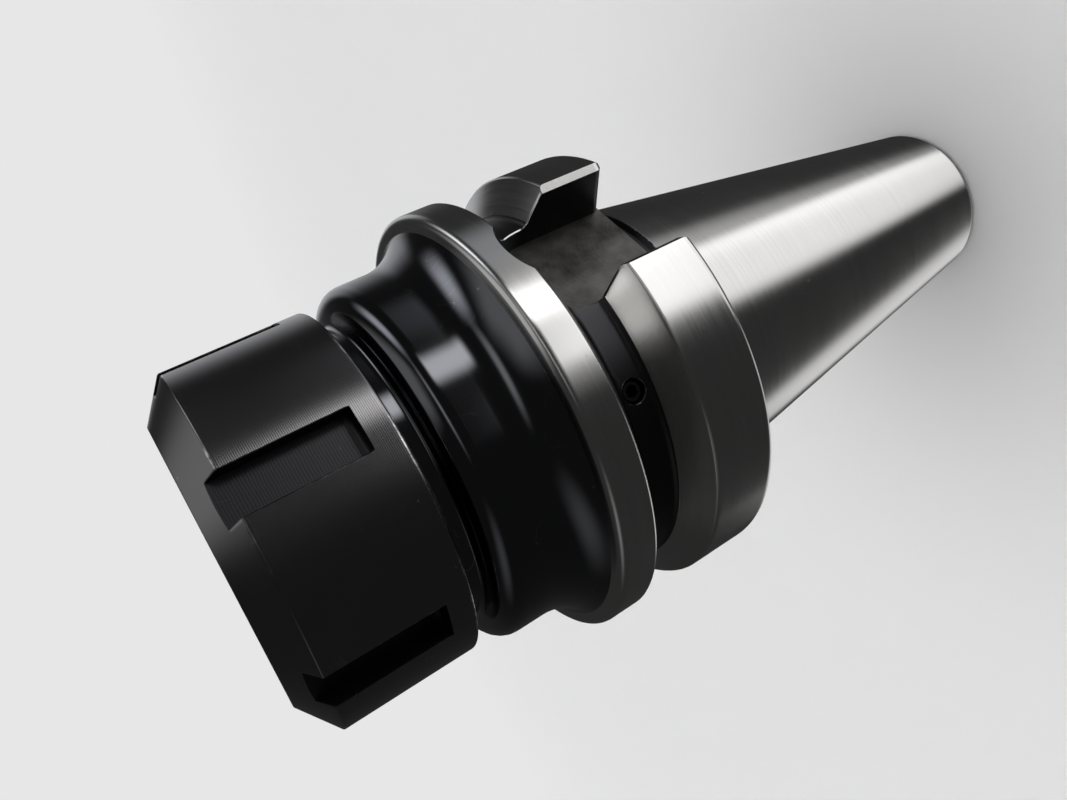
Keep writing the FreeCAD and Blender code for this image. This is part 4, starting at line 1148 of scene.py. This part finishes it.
def steel_finish(name, base, worn_and_glint, look):
    """A metal finish. The look gives its roughness, lines, rubbed edges with their painted edge highlight,
    scratches, specks and blotches.
    """
    material = bpy.data.materials.new(name)
    material.use_nodes = True
    net = Net(material.node_tree)
    shader = material.node_tree.nodes["Principled BSDF"]
    shader.inputs["Metallic"].default_value = 1.0
    shader.inputs["Anisotropic"].default_value = look.get("anisotropic", 0.0)
    shader.inputs["Anisotropic Rotation"].default_value = BRUSH_WAY
    place = object_place(net)

    def use(pattern, inputs):
        return net.node("ShaderNodeGroup", inputs, node_tree=group(pattern)).outputs[0]

    lines = use(look["lines"], look["line_sizes"])
    centred = net.math("SUBTRACT", lines, 0.5)
    blotch = net.math("SUBTRACT", net.noise(place, look["blotch_scale"], 4.0), 0.5)
    tone = net.math("ADD", net.math("MULTIPLY", centred, look["line_tone"]), 1.0)
    tone = net.math("ADD", tone, net.math("MULTIPLY", blotch, look["blotch"]))
    shade = net.scaled(tuple(base), tone)
    # Rubbed edges, scratches and specks get uncoated steel; on the edges that bright colour is also a painted
    # highlight.
    edges = {"Reach": look["wear_and_glint"], "Breakup": look["breakup"], "Cover": look["cover"]}
    edges["Edge"] = net.node("ShaderNodeAttribute", attribute_name=EDGE_MARK).outputs["Fac"]
    wear_and_glint = use("edge_wear_and_glint", edges)
    scratch = net.math("MULTIPLY", use("scratches", look["scratch_sizes"]), look["scratch"])
    speck = net.math("MULTIPLY", use("specks", {"Share": look["specks"]}), look["speck_tone"])
    bare_and_glint = net.math("MAXIMUM", wear_and_glint, net.math("MAXIMUM", scratch, speck))
    net.put(shader.inputs["Base Color"], net.mix(bare_and_glint, shade, (*worn_and_glint, 1.0)))
    rough = net.math("ADD", net.math("MULTIPLY", centred, look["line_rough"]), look["roughness"])
    rough = net.math("ADD", rough, net.math("MULTIPLY", blotch, look["blotch_rough"]))
    rough = net.math("ADD", rough, net.math("MULTIPLY", speck, SPECK_ROUGH), clamp=True)
    net.put(shader.inputs["Roughness"], rough)
    height = net.math("SUBTRACT", lines, net.math("MULTIPLY", scratch, SCRATCH_DEPTH))
    bump = net.node("ShaderNodeBump", {"Height": height, "Strength": look["bump"], "Distance": LINE_HEIGHT})
    net.put(shader.inputs["Normal"], bump.outputs[0])
    return material


# Each look below changes some of these values. Tones and blotches are shares of the base colour.
PLAIN_LOOK = {
    "roughness": 0.3,
    "lines": "turned_lines",
    "line_sizes": {"Density": 5000.0, "Spread": 40.0},
    "line_tone": 0.1,
    "line_rough": 0.05,
    "bump": 0.3,
    "blotch": 0.1,
    "blotch_scale": 60.0,
    "blotch_rough": 0.05,
    "wear_and_glint": 0.3,
    "breakup": 1.0,
    "cover": 0.6,
    "scratch": 0.3,
    "scratch_sizes": {"Scale": 60.0, "Width": 0.004},
    "specks": 0.06,
    "speck_tone": 0.4,
}


def chuck_materials(colours):
    """The materials of the chuck by name."""
    looks = {
        "ground_steel": (
            colours.ground,
            {
                "roughness": 0.2,
                "anisotropic": 0.6,
                "line_sizes": {"Density": 3200.0, "Spread": 30.0},
                "line_tone": 0.2,
                "line_rough": 0.1,
                "bump": 0.04,
                "wear_and_glint": 0.2,
            },
        ),
        "gloss_oxide": (
            colours.gloss_oxide,
            {
                "roughness": 0.1,
                "line_tone": 0.05,
                "line_rough": 0.02,
                "bump": 0.04,
                "blotch_rough": 0.08,
                "wear_and_glint": 0.3,
            },
        ),
        "matt_oxide": (colours.matt_oxide, {"roughness": 0.36, "bump": 0.25, "wear_and_glint": 0.15}),
        "milled_oxide": (
            colours.milled_oxide,
            {
                "roughness": 0.42,
                "lines": "milling_lines",
                "line_sizes": {"Spacing": 0.0007, "Radius": 0.00805},
                "line_tone": 0.1,
                "bump": 0.15,
                "blotch": 3.0,
                "blotch_scale": 200.0,
            },
        ),
        "seat_steel": (colours.ground, {"roughness": 0.2, "anisotropic": 0.4, "line_tone": 0.06}),
        "nut_oxide": (
            colours.nut_oxide,
            {
                "roughness": 0.24,
                "anisotropic": 0.3,
                "line_sizes": {"Density": 4500.0, "Spread": 25.0, "Feed": 0.00024, "Feed Share": 0.6},
                "bump": 0.35,
                "wear_and_glint": 0.24,
                "cover": 0.45,
                "breakup": 1.3,
            },
        ),
        "nut_slot_oxide": (
            colours.matt_oxide,
            {
                "roughness": 0.36,
                "lines": "milling_lines",
                "line_sizes": {"Spacing": 0.00035, "Radius": 1.0},
                "line_tone": 0.18,
                "bump": 0.2,
                "wear_and_glint": 0.2,
                "cover": 0.4,
                "breakup": 1.3,
            },
        ),
        "collet_steel": (
            colours.ground,
            {"roughness": 0.2, "anisotropic": 0.3, "line_tone": 0.06, "bump": 0.15},
        ),
        "screw_oxide": (colours.matt_oxide, {"roughness": 0.38}),
    }
    made = {}
    for name, (base, look) in looks.items():
        made[name] = steel_finish(name, base, colours.worn_and_glint, {**PLAIN_LOOK, **look})
    return made


MATERIALS = {}


def chuck_material(scene, name):
    """One of the chuck's materials, all built at the first call."""
    if not MATERIALS:
        MATERIALS.update(chuck_materials(scene.chuck_colours))
    return MATERIALS[name]


def dress(node, material):
    """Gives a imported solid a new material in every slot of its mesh."""
    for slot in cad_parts[node].material_slots:
        slot.material = material


FLOOR_FLAT = 1.2  # metres, radius of the floor's flat part
FLOOR_SWEEP = 0.6  # metres, radius of the curve between the floor and its wall
FLOOR_WALL = 3.0  # metres, height of the wall's top
SWEEP_ROWS = 25  # rows of the floor's curve
AROUND = 97  # columns round the floor


def curved_floor(name):
    """A floor that rises into a wall all round: flat, then a quarter circle, then straight up."""
    rise = np.linspace(0, np.pi / 2, SWEEP_ROWS)
    curve = FLOOR_FLAT + FLOOR_SWEEP * np.sin(rise)
    radius = np.concatenate([[0.0, FLOOR_FLAT / 2], curve, [FLOOR_FLAT + FLOOR_SWEEP]])
    up = np.concatenate([[0.0, 0.0], FLOOR_SWEEP * (1 - np.cos(rise)), [FLOOR_WALL]])
    theta = np.linspace(0, 2 * np.pi, AROUND)
    points = turned(radius[:, None], up[:, None], theta)
    index = np.arange(points[..., 0].size).reshape(points.shape[:2])
    faces = np.stack([index[:-1, :-1], index[:-1, 1:], index[1:, 1:], index[1:, :-1]], axis=-1)
    mesh = bpy.data.meshes.new(name)
    mesh.from_pydata(points.reshape(-1, 3), [], faces.reshape(-1, 4).tolist())
    work = bmesh.new()
    work.from_mesh(mesh)
    bmesh.ops.remove_doubles(work, verts=work.verts, dist=SAME_PLACE)
    work.to_mesh(mesh)
    work.free()
    mesh.shade_smooth()
    floor = bpy.data.objects.new(name, mesh)
    bpy.context.scene.collection.objects.link(floor)
    return floor


def floor_material(stage, base):
    """A pale floor that takes shadows near the chuck. Further out it is a backdrop that glows evenly."""
    material = bpy.data.materials.new("studio_floor")
    material.use_nodes = True
    net = Net(material.node_tree)
    tree = material.node_tree
    tree.nodes.remove(tree.nodes["Principled BSDF"])
    radius = axis_distance(net, object_place(net))
    far = net.ramp(radius, stage.floor_fade_start, stage.floor_fade_end)
    ray = net.node("ShaderNodeLightPath").outputs["Is Camera Ray"]
    matt = net.node("ShaderNodeBsdfDiffuse", {"Color": (*base, 1.0)}).outputs[0]
    glow = net.node("ShaderNodeEmission", {"Color": (*base, 1.0), "Strength": 1.0}).outputs[0]
    share_of_glow = net.math("MULTIPLY", far, ray)
    both = net.node("ShaderNodeMixShader", {0: share_of_glow, 1: matt, 2: glow}).outputs[0]
    net.put(tree.nodes["Material Output"].inputs["Surface"], both)
    return material


PANELS = (
    # name, azimuth, elevation, half width, half height (degrees), softness, brightness, tint
    ("key panel", -5, -49, 19, 24, 0.2, 1.36, (1.0, 1.0, 1.0)),
    ("key panel's weak side", 31, -46, 10, 20, 0.7, 0.55, (1.0, 1.0, 1.0)),
    ("key panel's upper part", -3, -29, 25, 6, 0.5, 0.9, (1.0, 1.0, 1.0)),
    ("lamp", 10, -16, 8, 9, 0.6, 3.2, (1.0, 1.0, 1.0)),
    ("window panel", 55, 21, 19, 7, 0.8, 2.2, (0.93, 0.95, 1.0)),
    ("cool side panel", 50, -26, 12, 9, 0.8, 0.4, (0.9, 0.93, 1.0)),
    ("rim light", -8, 23, 22, 4, 0.8, 1.0, (1.0, 1.0, 1.0)),
    ("far side panel", 198, -58, 13, 22, 0.35, 0.9, (1.0, 1.0, 1.0)),
    ("left side panel", 122, -5, 27, 12, 0.5, 0.6, (0.95, 0.96, 1.0)),
    ("right side panel", -115, 32, 22, 10, 0.9, 0.25, (1.0, 1.0, 1.0)),
    ("top panel", 66, 62, 36, 18, 0.5, 0.6, (1.0, 1.0, 1.0)),
)


def panel_group():
    """A soft rectangular panel of light. Each edge fades by the angle from the panel's middle."""
    tree = bpy.data.node_groups.new("soft_panel", "ShaderNodeTree")
    face = tree.interface
    for label in ("Direction", "Middle", "Sideways", "Upwards"):
        face.new_socket(name=label, in_out="INPUT", socket_type="NodeSocketVector")
    for label in ("Half Width", "Half Height", "Softness", "Brightness"):
        face.new_socket(name=label, in_out="INPUT", socket_type="NodeSocketFloat")
    face.new_socket(name="Light", in_out="OUTPUT", socket_type="NodeSocketFloat")
    net = Net(tree)
    entry = net.node("NodeGroupInput").outputs

    def dot(way):
        return net.vector("DOT_PRODUCT", entry["Direction"], entry[way])["Value"]

    ahead = dot("Middle")
    masks = []
    for way, size in (("Sideways", "Half Width"), ("Upwards", "Half Height")):
        off = net.math("ARCTAN2", net.math("ABSOLUTE", dot(way)), ahead)
        low = net.math("MULTIPLY", entry[size], net.math("SUBTRACT", 1.0, entry["Softness"]))
        high = net.math("MULTIPLY", entry[size], net.math("ADD", 1.0, entry["Softness"]))
        masks.append(net.math("SUBTRACT", 1.0, net.ramp(off, low, high)))
    light = net.math("MULTIPLY", net.math("MULTIPLY", *masks), entry["Brightness"])
    net.put(net.node("NodeGroupOutput").inputs[0], light)
    return tree


def studio_world(stage, base):
    """Panels of light in a dim room, for the metal to reflect. The camera sees the floor's colour."""
    world = bpy.data.worlds.new("studio")
    bpy.context.scene.world = world
    world.use_nodes = True
    tree = world.node_tree
    net = Net(tree)
    way = net.node("ShaderNodeTexCoord").outputs["Generated"]
    panel = panel_group()
    colour_sum = (stage.room_brightness,) * 3
    for name, azimuth, elevation, wide, high, soft, bright, tint in PANELS:
        a, e = np.radians(azimuth), np.radians(elevation)
        middle = (np.cos(a) * np.cos(e), np.sin(a) * np.cos(e), np.sin(e))
        side = (-np.sin(a), np.cos(a), 0.0)
        up = (-np.cos(a) * np.sin(e), -np.sin(a) * np.sin(e), np.cos(e))
        inputs = {
            "Direction": way,
            "Middle": middle,
            "Sideways": side,
            "Upwards": up,
            "Half Width": np.radians(wide),
            "Half Height": np.radians(high),
            "Softness": soft,
            "Brightness": bright,
        }
        light = net.node("ShaderNodeGroup", inputs, node_tree=panel, label=name).outputs[0]
        colour_sum = net.vector("ADD", colour_sum, net.scaled(tint, light))[0]
    ray = net.node("ShaderNodeLightPath").outputs["Is Camera Ray"]
    shown = net.mix(ray, colour_sum, (*base, 1.0))
    net.put(tree.nodes["Background"].inputs["Color"], shown)
    world.cycles.sampling_method = "MANUAL"
    world.cycles.sample_map_resolution = 512


class StageSettings(bpy.types.PropertyGroup):
    """The camera, the room's light and the floor"""

    camera_place: bpy.props.FloatVectorProperty(
        name="Camera place",
        description="Where the camera stands, fitted to the taper, the flange and the nut",
        default=(0.098657, -0.06537, 0.131468),
        subtype="TRANSLATION",
        unit="LENGTH",
        precision=6,
    )
    camera_turn: bpy.props.FloatVectorProperty(
        name="Camera turn",
        description="Turns of the camera about X, Y and Z",
        default=tuple(np.radians((-48.804, 55.1062, -88.025))),
        subtype="EULER",
        precision=6,
    )
    lens: bpy.props.FloatProperty(
        name="Lens", description="Focal length in millimetres on a 36 mm wide image", default=29.525
    )
    room_brightness: share("Room brightness", 0.035, "Light from where no panel stands")
    floor_fade_start: length("Fade start", 260, "Radius at which the floor starts to glow evenly")
    floor_fade_end: length("Fade end", 700, "Radius from which the floor only glows")
    floor_light: bpy.props.FloatProperty(
        name="Floor light", description="Strength of the lamp that lights the floor", default=2.0
    )


class CHUCK_OT_add_holder_body(bpy.types.Operator):
    """Build the holder body, from the small end of its taper to the nose thread"""

    bl_idname = "chuck.add_holder_body"
    bl_label = "Holder body"

    def execute(self, context):
        materials = [chuck_material(context.scene, name) for name in HOLDER_FINISHES]
        piece = HolderShell(context.scene).build(materials)
        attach(piece, "holder")
        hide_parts("holder_body")
        return {"FINISHED"}


class CHUCK_OT_add_clamping_nut(bpy.types.Operator):
    """Build the clamping nut, with its wrench slots, pulling lip and thread"""

    bl_idname = "chuck.add_clamping_nut"
    bl_label = "Clamping nut"

    def execute(self, context):
        materials = [chuck_material(context.scene, name) for name in NUT_FINISHES]
        piece = NutShell(context.scene).build(materials)
        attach(piece, "nut")
        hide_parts("clamping_nut")
        return {"FINISHED"}


class CHUCK_OT_dress_collet(bpy.types.Operator):
    """Give the collet its ground finish"""

    bl_idname = "chuck.dress_collet"
    bl_label = "Collet"

    def execute(self, context):
        dress("collet", chuck_material(context.scene, "collet_steel"))
        return {"FINISHED"}


class CHUCK_OT_dress_screws(bpy.types.Operator):
    """Give the stop screw and the plug screws their black finish"""

    bl_idname = "chuck.dress_screws"
    bl_label = "Screws"

    def execute(self, context):
        for node in ("stop_screw", "plug_screw_1", "plug_screw_2"):
            dress(node, chuck_material(context.scene, "screw_oxide"))
        return {"FINISHED"}


LAMP_SPREAD = np.radians(70)  # angle over which the floor's lamp is spread
IMAGE_WIDTH = 36.0  # millimetres, image width that the focal length goes with
NEAREST = 0.005  # metres from the camera to the nearest thing that it shows


class CHUCK_OT_set_stage(bpy.types.Operator):
    """Set up the pale floor, the light panels, the floor's lamp and the camera"""

    bl_idname = "chuck.set_stage"
    bl_label = "Stage"

    def execute(self, context):
        scene = context.scene
        stage = scene.chuck_stage
        base = scene.chuck_colours.floor
        floor = curved_floor("floor")
        floor.data.materials.append(floor_material(stage, base))
        floor.visible_glossy = False
        floor.visible_shadow = False
        studio_world(stage, base)

        lamp = bpy.data.lights.new("floor_lamp", "SUN")
        lamp.energy = stage.floor_light
        lamp.angle = LAMP_SPREAD
        sun = bpy.data.objects.new("floor_lamp", lamp)
        sun.visible_glossy = False
        scene.collection.objects.link(sun)

        lens = bpy.data.cameras.new("camera")
        lens.sensor_width = IMAGE_WIDTH
        lens.lens = stage.lens
        lens.clip_start = NEAREST
        camera = bpy.data.objects.new("camera", lens)
        camera.location = stage.camera_place
        camera.rotation_euler = stage.camera_turn
        scene.collection.objects.link(camera)
        scene.camera = camera
        scene.view_settings.view_transform = "Standard"
        return {"FINISHED"}


OPERATORS = (
    CHUCK_OT_add_holder_body,
    CHUCK_OT_add_clamping_nut,
    CHUCK_OT_dress_collet,
    CHUCK_OT_dress_screws,
    CHUCK_OT_set_stage,
)


class CHUCK_PT_panel(bpy.types.Panel):
    """Lists the chuck's pieces and its stage in the order in which they are made"""

    bl_idname = "CHUCK_PT_panel"
    bl_label = "Collet chuck holder"
    bl_space_type = "VIEW_3D"
    bl_region_type = "UI"
    bl_category = "Chuck"

    def draw(self, context):
        for operator in OPERATORS:
            self.layout.operator(operator.bl_idname)
        for name, sheet in SHEETS:
            box = self.layout.box()
            box.label(text=name.removeprefix("chuck_").capitalize())
            for key in sheet.__annotations__:
                box.prop(getattr(context.scene, name), key)


SHEETS = (
    ("chuck_taper", TaperSizes),
    ("chuck_flange", FlangeSizes),
    ("chuck_collar", CollarSizes),
    ("chuck_nose", NoseSizes),
    ("chuck_bore", BoreSizes),
    ("chuck_nut", NutSizes),
    ("chuck_colours", FinishColours),
    ("chuck_stage", StageSettings),
)


def register():
    for name, sheet in SHEETS:
        bpy.utils.register_class(sheet)
        setattr(bpy.types.Scene, name, bpy.props.PointerProperty(type=sheet))
    for operator in OPERATORS:
        bpy.utils.register_class(operator)
    bpy.utils.register_class(CHUCK_PT_panel)


def unregister():
    bpy.utils.unregister_class(CHUCK_PT_panel)
    for operator in reversed(OPERATORS):
        bpy.utils.unregister_class(operator)
    for name, sheet in reversed(SHEETS):
        delattr(bpy.types.Scene, name)
        bpy.utils.unregister_class(sheet)


def main():
    register()
    bpy.ops.chuck.add_holder_body()
    bpy.ops.chuck.add_clamping_nut()
    bpy.ops.chuck.dress_collet()
    bpy.ops.chuck.dress_screws()
    bpy.ops.chuck.set_stage()
    bpy.context.view_layer.update()


if __name__ == "__main__":
    main()
